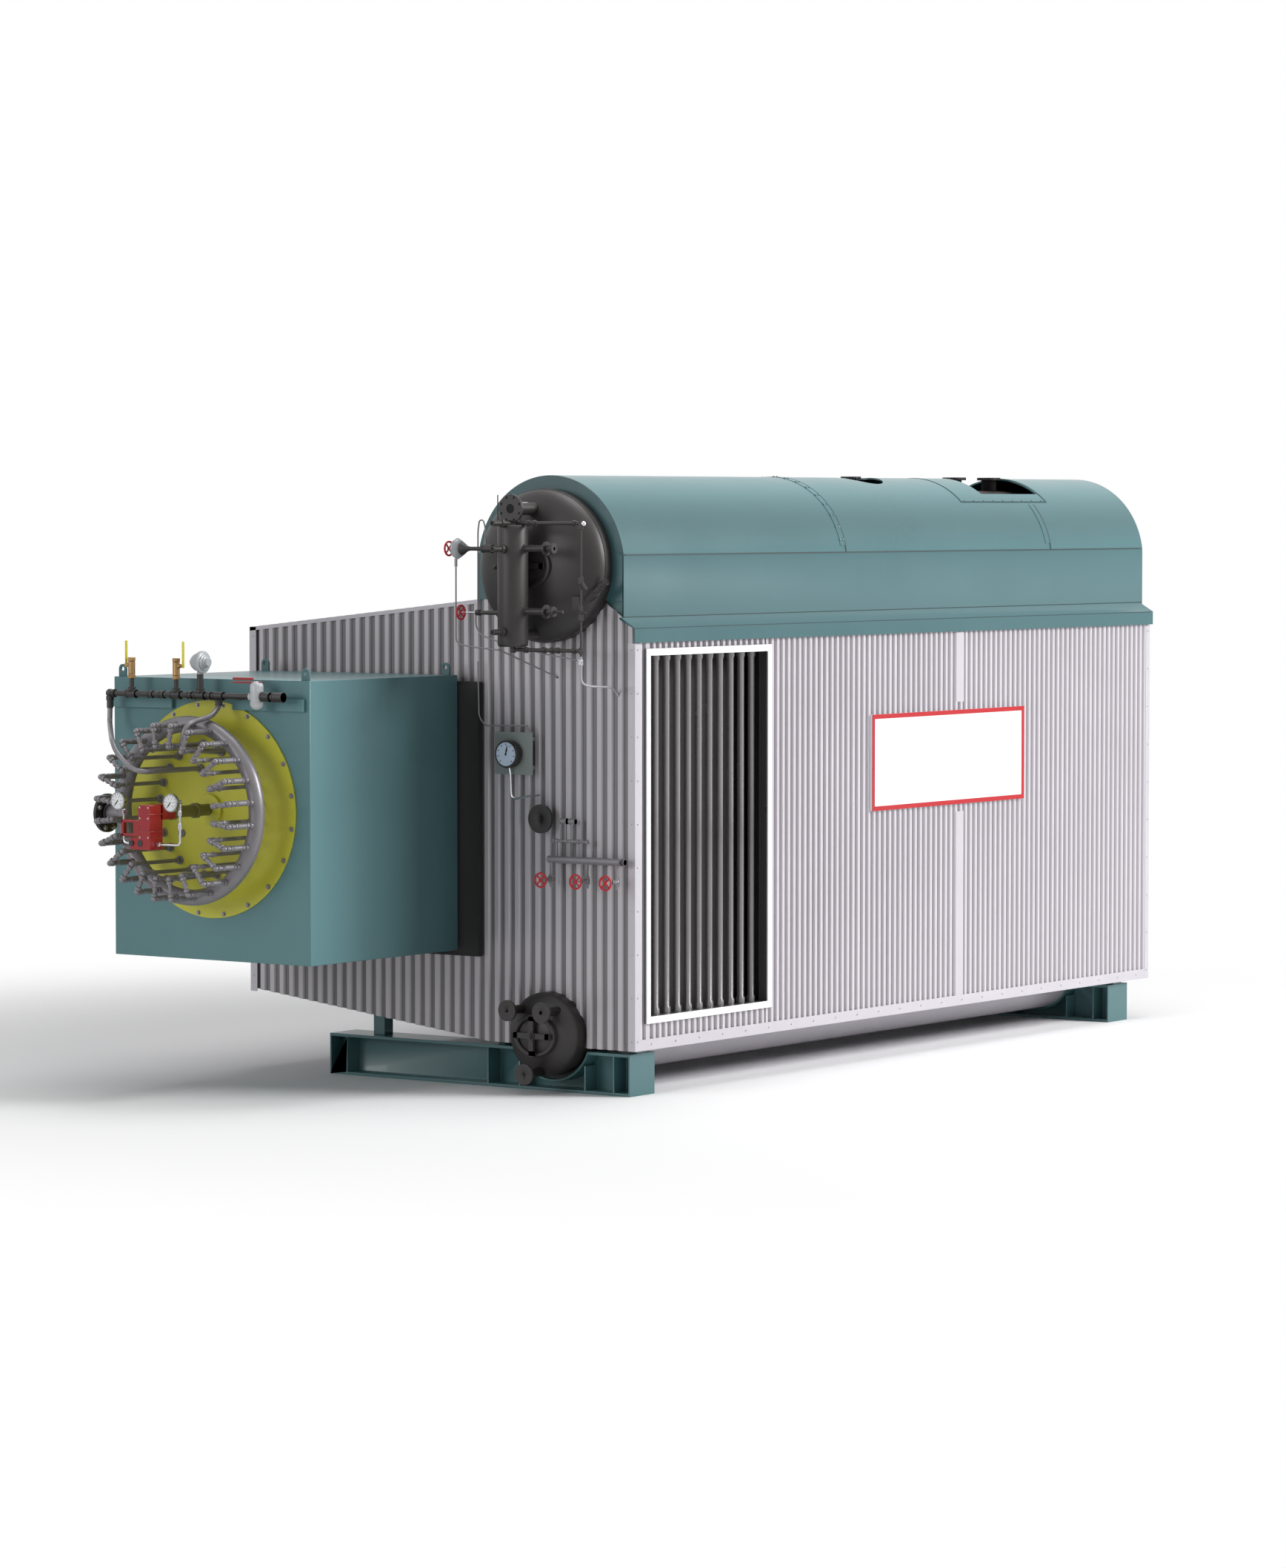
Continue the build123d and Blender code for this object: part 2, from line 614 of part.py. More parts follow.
# Burner gun with its actuator
gun_end = burner_face - gun_length
nodes["burner_gun"] = fuse(
    rod((burner_x, burner_face, burner_z), (burner_x, burner_face - 30, burner_z), 110),
    rod((burner_x, burner_face - 30, burner_z), (burner_x, gun_end, burner_z), gun_radius))
ax, ay, az = burner_x, gun_end, burner_z - 60
nodes["gun_actuator"] = fuse(
    block(ax - 90, ax + 90, ay - 190, ay, az - 190, az + 120),
    block(ax + 90, ax + 260, ay - 150, ay - 30, az - 20, az + 110),
    block(ax - 210, ax - 90, ay - 130, ay - 95, az + 70, az + 90),
    block(ax - 210, ax - 190, ay - 130, ay - 95, az - 60, az + 90),
    block(ax - 210, ax - 90, ay - 130, ay - 95, az - 60, az - 40),
    rod((ax - 60, ay - 190, az - 150), (ax - 60, ay - 230, az - 150), 30),
    rod((ax + 25, ay - 190, az - 150), (ax + 25, ay - 230, az - 150), 30))


def dial_gauge(x, y, z, radius, thick):
    """Round gauge case facing the front; y is its back."""
    return rod((x, y, z), (x, y - thick, z), radius)


gauges = []
for side, gx in ((-1, ax - 250), (1, ax + 300)):
    gy, gz = ay - 150, az + 140
    case = dial_gauge(gx, gy, gz, 64, 42)
    stem = rod((gx, gy - 20, gz - 50), (gx, gy - 20, az - 165), 9)
    foot = rod((gx, gy - 20, az - 165), (ax + side * 90, gy - 20, az - 165), 12)
    gauges.append(fuse(case, stem, foot))
panel_front = -70.0
gauges.append(fuse(
    dial_gauge(dial_x, panel_front - 8, dial_z, dial_radius, 75),
    rod((dial_x, panel_front - 40, dial_z - 80), (dial_x, panel_front - 40, dial_z - 380), 10)))
nodes["gauges"] = gauges

# Pilot gas header, its valves and the pressure switch
header = fuse(
    rod((header_x0, header_y, header_z), (header_x1, header_y, header_z), header_radius),
    rod((header_x0, header_y, header_z + header_radius), (header_x0, header_y, header_z - 90), header_radius + 4),
    *[rod((x, header_y, header_z), (x, header_y, header_z + 110), 19) for x in ball_valve_xs],
    *[rod((x - 45, header_y, header_z), (x + 45, header_y, header_z), header_radius + 9)
      for x in (*ball_valve_xs, switch_x, -2222.0, -1720.0)],
    rod((switch_x, header_y, header_z), (switch_x, header_y, header_z + 150), 24),
    rod((-2222.0, header_y, header_z), (-2222.0, header_y, header_z - 70), 24))
bracket_y = windbox_front
header = fuse(header, *[block(x - 25, x + 25, header_y, bracket_y, header_z - 8, header_z + 8)
                        for x in (-2820.0, -2050.0)])
nodes["pilot_header"] = header
valves = []
for x, side in zip(ball_valve_xs, ball_valve_sides):
    base = header_z + 110
    body = fuse(rod((x, header_y, base), (x, header_y, base + 180), 27),
                rod((x, header_y, base + 95), (x + side * 52, header_y, base + 95), 15))
    valves.append(body)
nodes["pilot_valves"] = valves
switch_z = header_z + 150 + 95
nodes["pressure_switch"] = fuse(
    rod((switch_x, header_y + 70, switch_z), (switch_x, header_y - 10, switch_z), 62),
    rod((switch_x, header_y - 10, switch_z), (switch_x, header_y - 40, switch_z), 84),
    rod((switch_x, header_y - 40, switch_z), (switch_x, header_y - 62, switch_z), 45),
    rod((switch_x, header_y, header_z + 150), (switch_x, header_y, switch_z), 26))
relief = fuse(
    rod((relief_x, header_y, header_z + 95), (relief_x, header_y, header_z - 85), 46),
    rod((relief_x - 70, header_y, header_z), (relief_x + 60, header_y, header_z), header_radius + 12))
nodes["safety_cock"] = relief - rod((header_x0, header_y, header_z), (header_x1, header_y, header_z),
                                    header_radius + curve_gap)

# Levers: yellow ones stand up beside their valves, the red one lies along the header
lever_gap = move_gap
for i, (x, side) in enumerate(zip(ball_valve_xs, ball_valve_sides)):
    pivot = (x + side * 52, header_y, header_z + 205)
    x_in = pivot[0] + side * lever_gap
    x_out = x_in + side * 8
    name = ("left", "right")[i]
    nodes["valve_lever_" + name] = block(x_in, x_out, header_y - 11, header_y + 11,
                                         pivot[2] - 14, pivot[2] + 175)
    pivots["valve_lever_" + name] = pivot
cock_top = header_z + 95 + lever_gap
nodes["cock_lever"] = block(relief_x - 215, relief_x + 30, header_y - 13, header_y + 13, cock_top, cock_top + 12)
pivots["cock_lever"] = (relief_x, header_y, cock_top)

# Water column with its flanged top nozzle and the level gauge beside it
head_face_top = -steam_overhang - steam_head_depth * 0.74
column = fuse(
    rod((drum_x, column_y, column_z0), (drum_x, column_y, column_z1), column_radius),
    rod((drum_x, column_y, column_z1), (drum_x, column_y, column_flange_z), 48),
    rod((drum_x, column_y + 48, column_flange_z), (drum_x, column_y - 95, column_flange_z), 52),
    rod((drum_x, column_y - 95, column_flange_z), (drum_x, column_y - 120, column_flange_z), 106))
column = column - rod((drum_x, column_y - 130, column_flange_z), (drum_x, column_y, column_flange_z), 30)
upper_z, lower_z = column_z1 - 90, column_z0 + 90
arms = []
for z in (upper_z, lower_z):
    arm = rod((drum_x, column_y, z), (drum_x, -steam_overhang - 10, z), 30)
    arms.append(arm)
nodes["water_column"] = off_head(fuse(column, *arms), "steam_drum_heads", False)
top_z, bottom_z = 4100.0, 3216.0
piping = fuse(
    rod((gauge_glass_x, column_y, bottom_z - 15), (gauge_glass_x, column_y, top_z + 30), 11),
    rod((drum_x + 48, column_y, top_z + 30), (gauge_glass_x, column_y, top_z + 30), 14),
    rod((drum_x, column_y, bottom_z - 14), (gauge_glass_x, column_y, bottom_z - 14), 14),
    rod((drum_x, column_y, bottom_z - 14), (drum_x, column_y, column_z0), 22),
    rod((gauge_glass_x, column_y, 3735), (gauge_glass_x, column_y, 3665), 22),
    rod((gauge_glass_x, column_y, 3470), (gauge_glass_x, column_y, 3410), 22),
    rod((gauge_glass_x, column_y, bottom_z - 60), (gauge_glass_x, column_y, bottom_z - 15), 20))
nodes["level_gauge"] = piping
stubs = []
for z, reach, side in ((3924.0, -385.0, 1), (3464.0, -416.0, 1)):
    stubs.append(fuse(
        rod((drum_x + column_radius - 1, column_y, z), (reach, column_y, z), 26),
        rod((reach - 40, column_y, z), (reach, column_y, z), 50)))
for z in (4050.0, 3324.0):
    stubs.append(rod((drum_x - column_radius + 1, column_y, z), (-950.0, column_y, z), 24))
body_x = -1261.0
stubs.append(fuse(
    rod((drum_x - column_radius + 1, column_y, 3920), (body_x + 60, column_y, 3920), 17),
    rod((body_x + 62, column_y, 3920), (body_x - 30, column_y, 3920), 62),
    rod((body_x - 30, column_y, 3920), (body_x - 52, column_y, 3920), 20)))
stubs.append(fuse(
    rod((drum_x - column_radius + 1, column_y, 3463), (-1110.0, column_y, 3463), 17),
    rod((-1110.0, column_y, 3463), (-1165.0, column_y, 3463), 30)))
cylinder = rod((drum_x, column_y, column_z0 - 10), (drum_x, column_y, column_z1 + 10), column_radius + curve_gap)
nodes["column_branches"] = [stub - cylinder for stub in stubs]

# Front wall fittings
stand = 52.0
nodes["gauge_panel"] = fuse(
    block(*gauge_panel_x, panel_front, panel_front - 8, *gauge_panel_z),
    *[block(x - 15, x + 15, panel_front, -joint_gap / 2, z - 15, z + 15)
      for x in (gauge_panel_x[0] + 50, gauge_panel_x[1] - 50)
      for z in (gauge_panel_z[0] + 50, gauge_panel_z[1] - 50)])
nodes["wall_nozzle"] = flange((wall_nozzle_x, -85, wall_nozzle_z), (0, -1, 0), 104, 24, 50, 85, 31)
manifold = fuse(
    rod((manifold_x[0], manifold_y, manifold_z), (manifold_x[1], manifold_y, manifold_z), 27),
    *[rod((x, manifold_y, manifold_z), (x, manifold_y, drain_valve_z - 55), 16) for x in drain_valve_xs],
    *[rod((x, manifold_y, drain_valve_z), (x, manifold_y - 55, drain_valve_z), 22) for x in drain_valve_xs],
    *[rod((x, manifold_y, drain_valve_z - 30), (x, manifold_y, drain_valve_z + 30), 26) for x in drain_valve_xs],
    *[rod((x, manifold_y, manifold_z), (x, 0, manifold_z), 12) for x in (-640.0, -160.0)],
    *[rod((x, manifold_y, manifold_z), (x, manifold_y, 1823), 11) for x in (-640.0, -520.0)],
    rod((-690.0, manifold_y, 1823), (-365.0, manifold_y, 1823), 13),
    *[rod((x, manifold_y, 1823), (x, manifold_y, 1965), 10) for x in (-560.0, -500.0)],
    rod((-600.0, manifold_y, 1965), (-470.0, manifold_y, 1965), 24))
nodes["drain_manifold"] = manifold

# Handwheels
wheel_y = manifold_y - 55 - 80
for name, x in zip(("left", "middle", "right"), drain_valve_xs):
    centre = (x, wheel_y, drain_valve_z)
    nodes["drain_wheel_" + name] = hand_wheel(centre, (0, -1, 0), 80 - move_gap)
    pivots["drain_wheel_" + name] = centre
for name, x, z, back in (("upper", body_x - 52 - 32, 3920.0, 32), ("lower", -1165.0 - 50, 3463.0, 50)):
    centre = (x, column_y, z)
    nodes["column_wheel_" + name] = hand_wheel(centre, (-1, 0, 0), back - move_gap)
    pivots["column_wheel_" + name] = centre

# Flanged nozzles on the mud drum's front head
mud_face = -mud_overhang - mud_head_depth
feet = []
for x, z in ((-152.0, 182.0), (152.0, 182.0), (0.0, -269.0)):
    feet.append(flange((drum_x + x, mud_face - 140, mud_z + z), (0, -1, 0), 76, 20, 32, 250, 14))
nodes["mud_drum_nozzles"] = [off_head(foot, "mud_drum_heads", False) for foot in feet]

# Move everything so that the origin is the middle of the footprint, then write the files
solids = {name: Compound(children=[Compound(part.solids()) for part in shape]) if isinstance(shape, list)
          else Compound(shape.solids()) for name, shape in nodes.items()}
whole = Compound(children=list(solids.values())).bounding_box()
shift = Vector(-(whole.min.X + whole.max.X) / 2, -(whole.min.Y + whole.max.Y) / 2, -whole.min.Z)
for name, shape in solids.items():
    export_step(Compound([solid.moved(Location(shift)) for solid in shape.solids()]), f"parts/{name}.step")
print("shift", round(shift.X, 3), round(shift.Y, 3), round(shift.Z, 3), "size", whole.size)
for name, (x, y, z) in pivots.items():
    print("pivot", name, round(x + shift.X, 3), round(y + shift.Y, 3), round(z + shift.Z, 3))
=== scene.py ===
import math

import bmesh
import bpy
import numpy as np
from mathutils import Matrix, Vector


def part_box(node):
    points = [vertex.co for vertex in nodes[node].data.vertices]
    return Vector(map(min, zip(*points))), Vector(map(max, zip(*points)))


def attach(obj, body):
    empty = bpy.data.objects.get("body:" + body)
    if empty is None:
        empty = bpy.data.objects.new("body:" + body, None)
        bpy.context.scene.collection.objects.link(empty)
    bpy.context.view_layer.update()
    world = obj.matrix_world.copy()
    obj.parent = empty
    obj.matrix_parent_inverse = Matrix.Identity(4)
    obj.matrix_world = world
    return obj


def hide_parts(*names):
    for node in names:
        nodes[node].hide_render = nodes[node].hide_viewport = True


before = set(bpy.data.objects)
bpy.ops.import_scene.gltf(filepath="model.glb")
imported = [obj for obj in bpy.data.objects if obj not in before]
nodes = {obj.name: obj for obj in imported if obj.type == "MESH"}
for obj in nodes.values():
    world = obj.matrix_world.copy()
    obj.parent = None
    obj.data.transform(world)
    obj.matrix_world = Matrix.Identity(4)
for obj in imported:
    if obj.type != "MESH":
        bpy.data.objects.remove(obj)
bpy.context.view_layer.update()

# The camera stands to the front right, at the height of the drum cover, and looks along the casing.
# Places in this file are metres from the casing's right front corner at ground level: x to the
# right, y to the rear, z up. "corner" is that point, and "spot" turns such a place into the frame's.
wall_low, wall_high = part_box("front_wall")
corner = np.array([wall_high.x, wall_low.y, 0.0])


def spot(x, y, z):
    """The frame's point for a place measured from the casing's right front corner."""
    return corner + np.array([x, y, z], float)


camera = bpy.data.objects.new("camera", bpy.data.cameras.new("camera"))
bpy.context.scene.collection.objects.link(camera)
camera.location = spot(21.751, -30.396, 4.216)
camera.rotation_euler = (math.radians(90 - 3.015), 0, math.radians(35.5))
camera.data.sensor_fit = "VERTICAL"
camera.data.sensor_height = 36.0
camera.data.lens = 120.63
camera.data.clip_start, camera.data.clip_end = 1.0, 400.0
bpy.context.scene.camera = camera
bpy.context.scene.view_settings.view_transform = "Standard"


# Light: a wide key lamp to the right and a little behind lights the long side and leaves the burner
# front in shade. A weak lamp from the front left and one overhead fill the rest, and the sky is plain
# white to the camera and in reflections.
def lamp(name, place, aim, size, watts):
    """A square area lamp of a given side at place, turned to face aim."""
    data = bpy.data.lights.new(name, "AREA")
    data.shape, data.size, data.energy = "SQUARE", size, watts
    made = bpy.data.objects.new(name, data)
    bpy.context.scene.collection.objects.link(made)
    made.location = place
    aim_line = made.location - made.location.__class__(aim)
    made.rotation_euler = aim_line.to_track_quat("Z", "Y").to_euler()


middle = spot(-1.7, 3.0, 2.0)
lamp("key", spot(19.0, 11.0, 13.0), middle, 8.0, 6000)
lamp("fill", spot(-9.0, -22.0, 8.0), middle, 9.0, 1300)
lamp("top", spot(0.0, 4.0, 22.0), middle, 12.0, 1900)

world = bpy.data.worlds.new("studio")
bpy.context.scene.world = world
world.use_nodes = True
sky = world.node_tree
sky.nodes.clear()
sky_out = sky.nodes.new("ShaderNodeOutputWorld")
seen = sky.nodes.new("ShaderNodeBackground")
glow = sky.nodes.new("ShaderNodeBackground")
either = sky.nodes.new("ShaderNodeMixShader")
rays = sky.nodes.new("ShaderNodeLightPath")
clear_ray = sky.nodes.new("ShaderNodeMath")
clear_ray.operation = "MAXIMUM"
white_ray = sky.nodes.new("ShaderNodeMath")
white_ray.operation = "MAXIMUM"
seen.inputs["Color"].default_value = (1, 1, 1, 1)
glow.inputs["Color"].default_value = (0.97, 0.98, 1.0, 1)
glow.inputs["Strength"].default_value = 0.24
sky.links.new(rays.outputs["Is Glossy Ray"], clear_ray.inputs[0])
sky.links.new(rays.outputs["Is Transmission Ray"], clear_ray.inputs[1])
sky.links.new(rays.outputs["Is Camera Ray"], white_ray.inputs[0])
sky.links.new(clear_ray.outputs[0], white_ray.inputs[1])
sky.links.new(white_ray.outputs[0], either.inputs[0])
sky.links.new(glow.outputs[0], either.inputs[1])
sky.links.new(seen.outputs[0], either.inputs[2])
sky.links.new(either.outputs[0], sky_out.inputs[0])


# Floor: one pale sheet of 240 m that fades into the white of the sky with distance, so that only
# the boiler's own soft shadow shows on it.
def grid_faces(rows, columns, around=True):
    """Quads between the points of a rows by columns grid; around joins the last column to the first."""
    i = np.arange(rows - 1)[:, None] * columns
    j = np.arange(columns if around else columns - 1)[None, :]
    k = (j + 1) % columns
    return np.stack([i + j, i + k, i + columns + k, i + columns + j], -1).reshape(-1, 4)


def new_object(name, points, faces):
    """A mesh object at the origin from an array of points and an array of faces."""
    mesh = bpy.data.meshes.new(name)
    mesh.from_pydata(np.asarray(points, float).tolist(), [], np.asarray(faces, int).tolist())
    mesh.update()
    made = bpy.data.objects.new(name, mesh)
    bpy.context.scene.collection.objects.link(made)
    return made


def new_material(name):
    """A node material with a Principled shader; returns the material, its nodes, links and shader."""
    made = bpy.data.materials.new(name)
    made.use_nodes = True
    tree = made.node_tree
    return made, tree.nodes, tree.links, tree.nodes["Principled BSDF"]


floor_half = 120.0
sides = np.array([-floor_half, floor_half])
floor_points = np.stack(np.meshgrid(sides, sides, [0.0], indexing="ij"), -1).reshape(-1, 3)
floor = new_object("studio_floor", floor_points, [(0, 2, 3, 1)])
floor_paint, n, l, shader = new_material("floor_paint")
shader.inputs["Base Color"].default_value = (0.90, 0.90, 0.90, 1)
shader.inputs["Roughness"].default_value = 0.9
shader.inputs["Specular IOR Level"].default_value = 0.1
where = n.new("ShaderNodeTexCoord")
far = n.new("ShaderNodeVectorMath")
far.operation = "LENGTH"
fade = n.new("ShaderNodeMapRange")
fade.interpolation_type = "SMOOTHSTEP"
fade.inputs["From Min"].default_value = 4.0
fade.inputs["From Max"].default_value = 10.0
white = n.new("ShaderNodeEmission")
light = n.new("ShaderNodeLightPath")
only = n.new("ShaderNodeMath")
only.operation = "MULTIPLY"
blend_out = n.new("ShaderNodeMixShader")
l.new(where.outputs["Object"], far.inputs[0])
l.new(far.outputs["Value"], fade.inputs["Value"])
l.new(fade.outputs["Result"], only.inputs[0])
l.new(light.outputs["Is Camera Ray"], only.inputs[1])
l.new(only.outputs[0], blend_out.inputs[0])
l.new(shader.outputs[0], blend_out.inputs[1])
l.new(white.outputs[0], blend_out.inputs[2])
l.new(blend_out.outputs[0], n["Material Output"].inputs["Surface"])
floor.data.materials.append(floor_paint)


# Casing: ribbed coated sheet in a pale lilac grey on insulated panels, with flat angles over the
# corners and the sill, held by rows of small hexagon screws. The sheets are the frame's own solids.
# Faint dust drifts over them and rain leaves faint upright streaks.
def weathering_group():
    """Shared effect: a colour that drifts with broad noise and stretched streaks, with a matching
    roughness and a fine height for a Bump node."""
    group = bpy.data.node_groups.new("weathered_finish", "ShaderNodeTree")
    for label, kind, value in (
            ("Color", "NodeSocketColor", (0.5, 0.5, 0.5, 1)), ("Drift", "NodeSocketFloat", 0.06),
            ("Streaks", "NodeSocketFloat", 0.05), ("Scale", "NodeSocketFloat", 1.2),
            ("Roughness", "NodeSocketFloat", 0.45)):
        socket = group.interface.new_socket(name=label, in_out="INPUT", socket_type=kind)
        socket.default_value = value
    for label, kind in (("Color", "NodeSocketColor"), ("Roughness", "NodeSocketFloat"),
                        ("Height", "NodeSocketFloat")):
        group.interface.new_socket(name=label, in_out="OUTPUT", socket_type=kind)
    n, l = group.nodes, group.links
    start, end = n.new("NodeGroupInput"), n.new("NodeGroupOutput")
    place = n.new("ShaderNodeTexCoord")
    broad = n.new("ShaderNodeTexNoise")
    broad.inputs["Detail"].default_value = 4
    stretch = n.new("ShaderNodeMapping")
    stretch.inputs["Scale"].default_value = (9, 9, 0.35)
    streak = n.new("ShaderNodeTexNoise")
    streak.inputs["Scale"].default_value = 1.0
    streak.inputs["Detail"].default_value = 5
    grain = n.new("ShaderNodeTexNoise")
    grain.inputs["Scale"].default_value = 160
    grain.inputs["Detail"].default_value = 2
    l.new(place.outputs["Object"], broad.inputs["Vector"])
    l.new(place.outputs["Object"], stretch.inputs["Vector"])
    l.new(stretch.outputs["Vector"], streak.inputs["Vector"])
    l.new(place.outputs["Object"], grain.inputs["Vector"])
    l.new(start.outputs["Scale"], broad.inputs["Scale"])

    def maths(kind, a, b):
        """A Math node fed by sockets or numbers."""
        node = n.new("ShaderNodeMath")
        node.operation = kind
        for i, value in enumerate((a, b)):
            if isinstance(value, (int, float)):
                node.inputs[i].default_value = value
            else:
                l.new(value, node.inputs[i])
        return node.outputs[0]

    drift = maths("MULTIPLY", maths("SUBTRACT", broad.outputs["Fac"], 0.5), start.outputs["Drift"])
    lines = maths("MULTIPLY", maths("SUBTRACT", streak.outputs["Fac"], 0.5), start.outputs["Streaks"])
    level = maths("ADD", 1.0, maths("MULTIPLY", maths("ADD", drift, lines), 2.0))
    shade = n.new("ShaderNodeVectorMath")
    shade.operation = "SCALE"
    l.new(start.outputs["Color"], shade.inputs[0])
    l.new(level, shade.inputs["Scale"])
    l.new(shade.outputs["Vector"], end.inputs["Color"])
    uneven = maths("MULTIPLY", maths("SUBTRACT", broad.outputs["Fac"], 0.5), 0.18)
    l.new(maths("ADD", start.outputs["Roughness"], uneven), end.inputs["Roughness"])
    swell = maths("MULTIPLY", broad.outputs["Fac"], 0.6)
    l.new(maths("ADD", grain.outputs["Fac"], swell), end.inputs["Height"])
    return group


weathered = weathering_group()
grain_depth = 0.0006


def painted(name, colour, roughness=0.42, drift=0.05, streaks=0.03, scale=1.2, metallic=0.0, bump=0.03,
            coat=0.0):
    """A coat of paint or a bare metal: one colour with the shared weathering, bump and gloss."""
    made, n, l, shader = new_material(name)
    effect = n.new("ShaderNodeGroup")
    effect.node_tree = weathered
    effect.inputs["Color"].default_value = (*colour, 1)
    effect.inputs["Drift"].default_value = drift
    effect.inputs["Streaks"].default_value = streaks
    effect.inputs["Scale"].default_value = scale
    effect.inputs["Roughness"].default_value = roughness
    l.new(effect.outputs["Color"], shader.inputs["Base Color"])
    l.new(effect.outputs["Roughness"], shader.inputs["Roughness"])
    shader.inputs["Metallic"].default_value = metallic
    shader.inputs["Coat Weight"].default_value = coat
    raised = n.new("ShaderNodeBump")
    raised.inputs["Strength"].default_value = bump
    raised.inputs["Distance"].default_value = grain_depth
    l.new(effect.outputs["Height"], raised.inputs["Height"])
    l.new(raised.outputs["Normal"], shader.inputs["Normal"])
    return made


def finish_node(node, material):
    """Gives a frame node that keeps its own shape its finish."""
    mesh = nodes[node].data
    mesh.materials.clear()
    mesh.materials.append(material)


def turned(profile, sides=24):
    """A turned shape: each (radius, height) of the profile goes round the z axis in equal steps. A
    profile that runs from the axis at the bottom, out, up and back to the axis faces outwards."""
    profile = np.asarray(profile, float)
    turn = np.linspace(0, 2 * np.pi, sides, endpoint=False)
    flat = profile[:, :1, None] * np.stack([np.cos(turn), np.sin(turn)])[None]
    height = np.broadcast_to(profile[:, 1, None, None], (len(profile), 1, sides))
    points = np.concatenate([flat, height], 1).transpose(0, 2, 1).reshape(-1, 3)
    return points, grid_faces(len(profile), sides)


def disc(radius, top, sides, foot=0.0):
    """A flat round plate or plug: out, up and back to the axis, between two heights."""
    return turned([(0, foot), (radius, foot), (radius, top), (0, top)], sides)


def aimed(shape, at, along=(0, 0, 1)):
    """A shape tipped so that its z axis points along a direction, and moved to a place: its points times
    the three axes of the tipped frame, plus the place."""
    points, faces = shape
    z = np.asarray(along, float) / np.linalg.norm(along)
    other = np.array([0.0, 0.0, 1.0]) if abs(z[2]) < 0.9 else np.array([0.0, 1.0, 0.0])
    x = np.cross(other, z)
    x = x / np.linalg.norm(x)
    return points @ np.stack([x, np.cross(z, x), z]) + np.asarray(at, float), faces


def repeated(shape, places):
    """One shape at many places: its points plus each place in turn, as one array."""
    points, faces = shape
    places = np.asarray(places, float)
    moved = (points[None] + places[:, None]).reshape(-1, 3)
    numbers = faces[None] + (np.arange(len(places)) * len(points))[:, None, None]
    return moved, numbers.reshape(-1, 4)


def joined(*shapes):
    """Several shapes of quads as one."""
    starts = np.cumsum([0] + [len(points) for points, faces in shapes[:-1]])
    return (np.concatenate([points for points, faces in shapes]),
            np.concatenate([faces + start for (points, faces), start in zip(shapes, starts)]))


def piece(name, shape, material, body="boiler", node=None):
    """A finished piece on a body, which may replace a frame node: points that coincide are merged, faces
    are turned outwards, and edges sharper than 38 degrees stay sharp under smooth shading."""
    made = new_object(name, *shape)
    work = bmesh.new()
    work.from_mesh(made.data)
    bmesh.ops.remove_doubles(work, verts=work.verts, dist=0.00001)
    bmesh.ops.recalc_face_normals(work, faces=work.faces)
    work.to_mesh(made.data)
    work.free()
    made.data.shade_smooth()
    made.data.set_sharp_from_angle(angle=math.radians(38))
    made.data.materials.append(material)
    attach(made, body)
    if node:
        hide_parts(node)
    return made


def brick(low, high):
    """A block between two opposite corners."""
    points = np.stack(np.meshgrid(*np.stack([low, high], -1), indexing="ij"), -1).reshape(-1, 3)
    sides = ((0, 1, 3, 2), (4, 6, 7, 5), (0, 4, 5, 1), (2, 3, 7, 6), (0, 2, 6, 4), (1, 5, 7, 3))
    return points, np.array(sides)


def hexagon(radius, height, washer=0.0):
    """A hexagon bolt head or nut on its washer, with its seat at z = 0."""
    plate = 0.2 * height
    head = turned([(0, 0), (radius, 0), (radius, 0.8 * height), (0.86 * radius, height), (0, height)], 6)
    if not washer:
        return head
    return joined(disc(washer, plate, 16), (head[0] + (0, 0, plate), head[1]))


def line_of(start, end, pitch):
    """Places in a straight row, spaced evenly by about the pitch."""
    start, end = np.asarray(start, float), np.asarray(end, float)
    count = max(2, round(float(np.linalg.norm(end - start)) / pitch) + 1)
    return start + np.linspace(0, 1, count)[:, None] * (end - start)


def painted_light_along(material, axis, start, end):
    """Paints light and shade on a finish by scaling its colour, for a caller that says by how much: returns the
    share node that runs from 0 at start to 1 at end of the object's coordinate along one axis, and the socket
    for the scale."""
    n, l = material.node_tree.nodes, material.node_tree.links
    base = n["Principled BSDF"].inputs["Base Color"]
    place, parts = n.new("ShaderNodeTexCoord"), n.new("ShaderNodeSeparateXYZ")
    share, shade = n.new("ShaderNodeMapRange"), n.new("ShaderNodeVectorMath")
    shade.operation = "SCALE"
    share.inputs["From Min"].default_value = start
    share.inputs["From Max"].default_value = end
    l.new(place.outputs["Object"], parts.inputs[0])
    l.new(parts.outputs[axis], share.inputs["Value"])
    l.new(base.links[0].from_socket, shade.inputs[0])
    l.new(shade.outputs["Vector"], base)
    return share, shade.inputs["Scale"]


def painted_shade_along(material, axis, crest, valley, depth):
    """Paints shade along one axis, from full colour at the crest of a rib to depth times that colour in its
    valley, as painted shade in the valleys. It also serves as painted shade behind edges and in recesses."""
    share, scale = painted_light_along(material, axis, valley, crest)
    share.inputs["To Min"].default_value = depth
    material.node_tree.links.new(share.outputs["Result"], scale)


casing_paint = painted("casing_paint", (0.47, 0.445, 0.485), roughness=0.33, drift=0.03, streaks=0.06,
                       metallic=0.2)
rib_depth = 0.020
# Painted shade: the front and right walls darken in the valleys of their ribs, to 0.36 and 0.62 of their
# colour.
front_paint = painted("front_casing_paint", (0.50, 0.475, 0.50), roughness=0.36, drift=0.03, streaks=0.05,
                      metallic=0.2)
painted_shade_along(front_paint, "Y", float(corner[1]) + 0.002, float(corner[1]) + rib_depth - 0.002, 0.36)
side_paint = painted("side_casing_paint", (0.57, 0.54, 0.58), roughness=0.33, drift=0.03, streaks=0.06,
                     metallic=0.2)
painted_shade_along(side_paint, "X", float(corner[0]) - 0.002, float(corner[0]) - rib_depth + 0.002, 0.62)
trim_paint = painted("trim_paint", (0.54, 0.515, 0.555), roughness=0.33, drift=0.02, streaks=0.03, metallic=0.2)
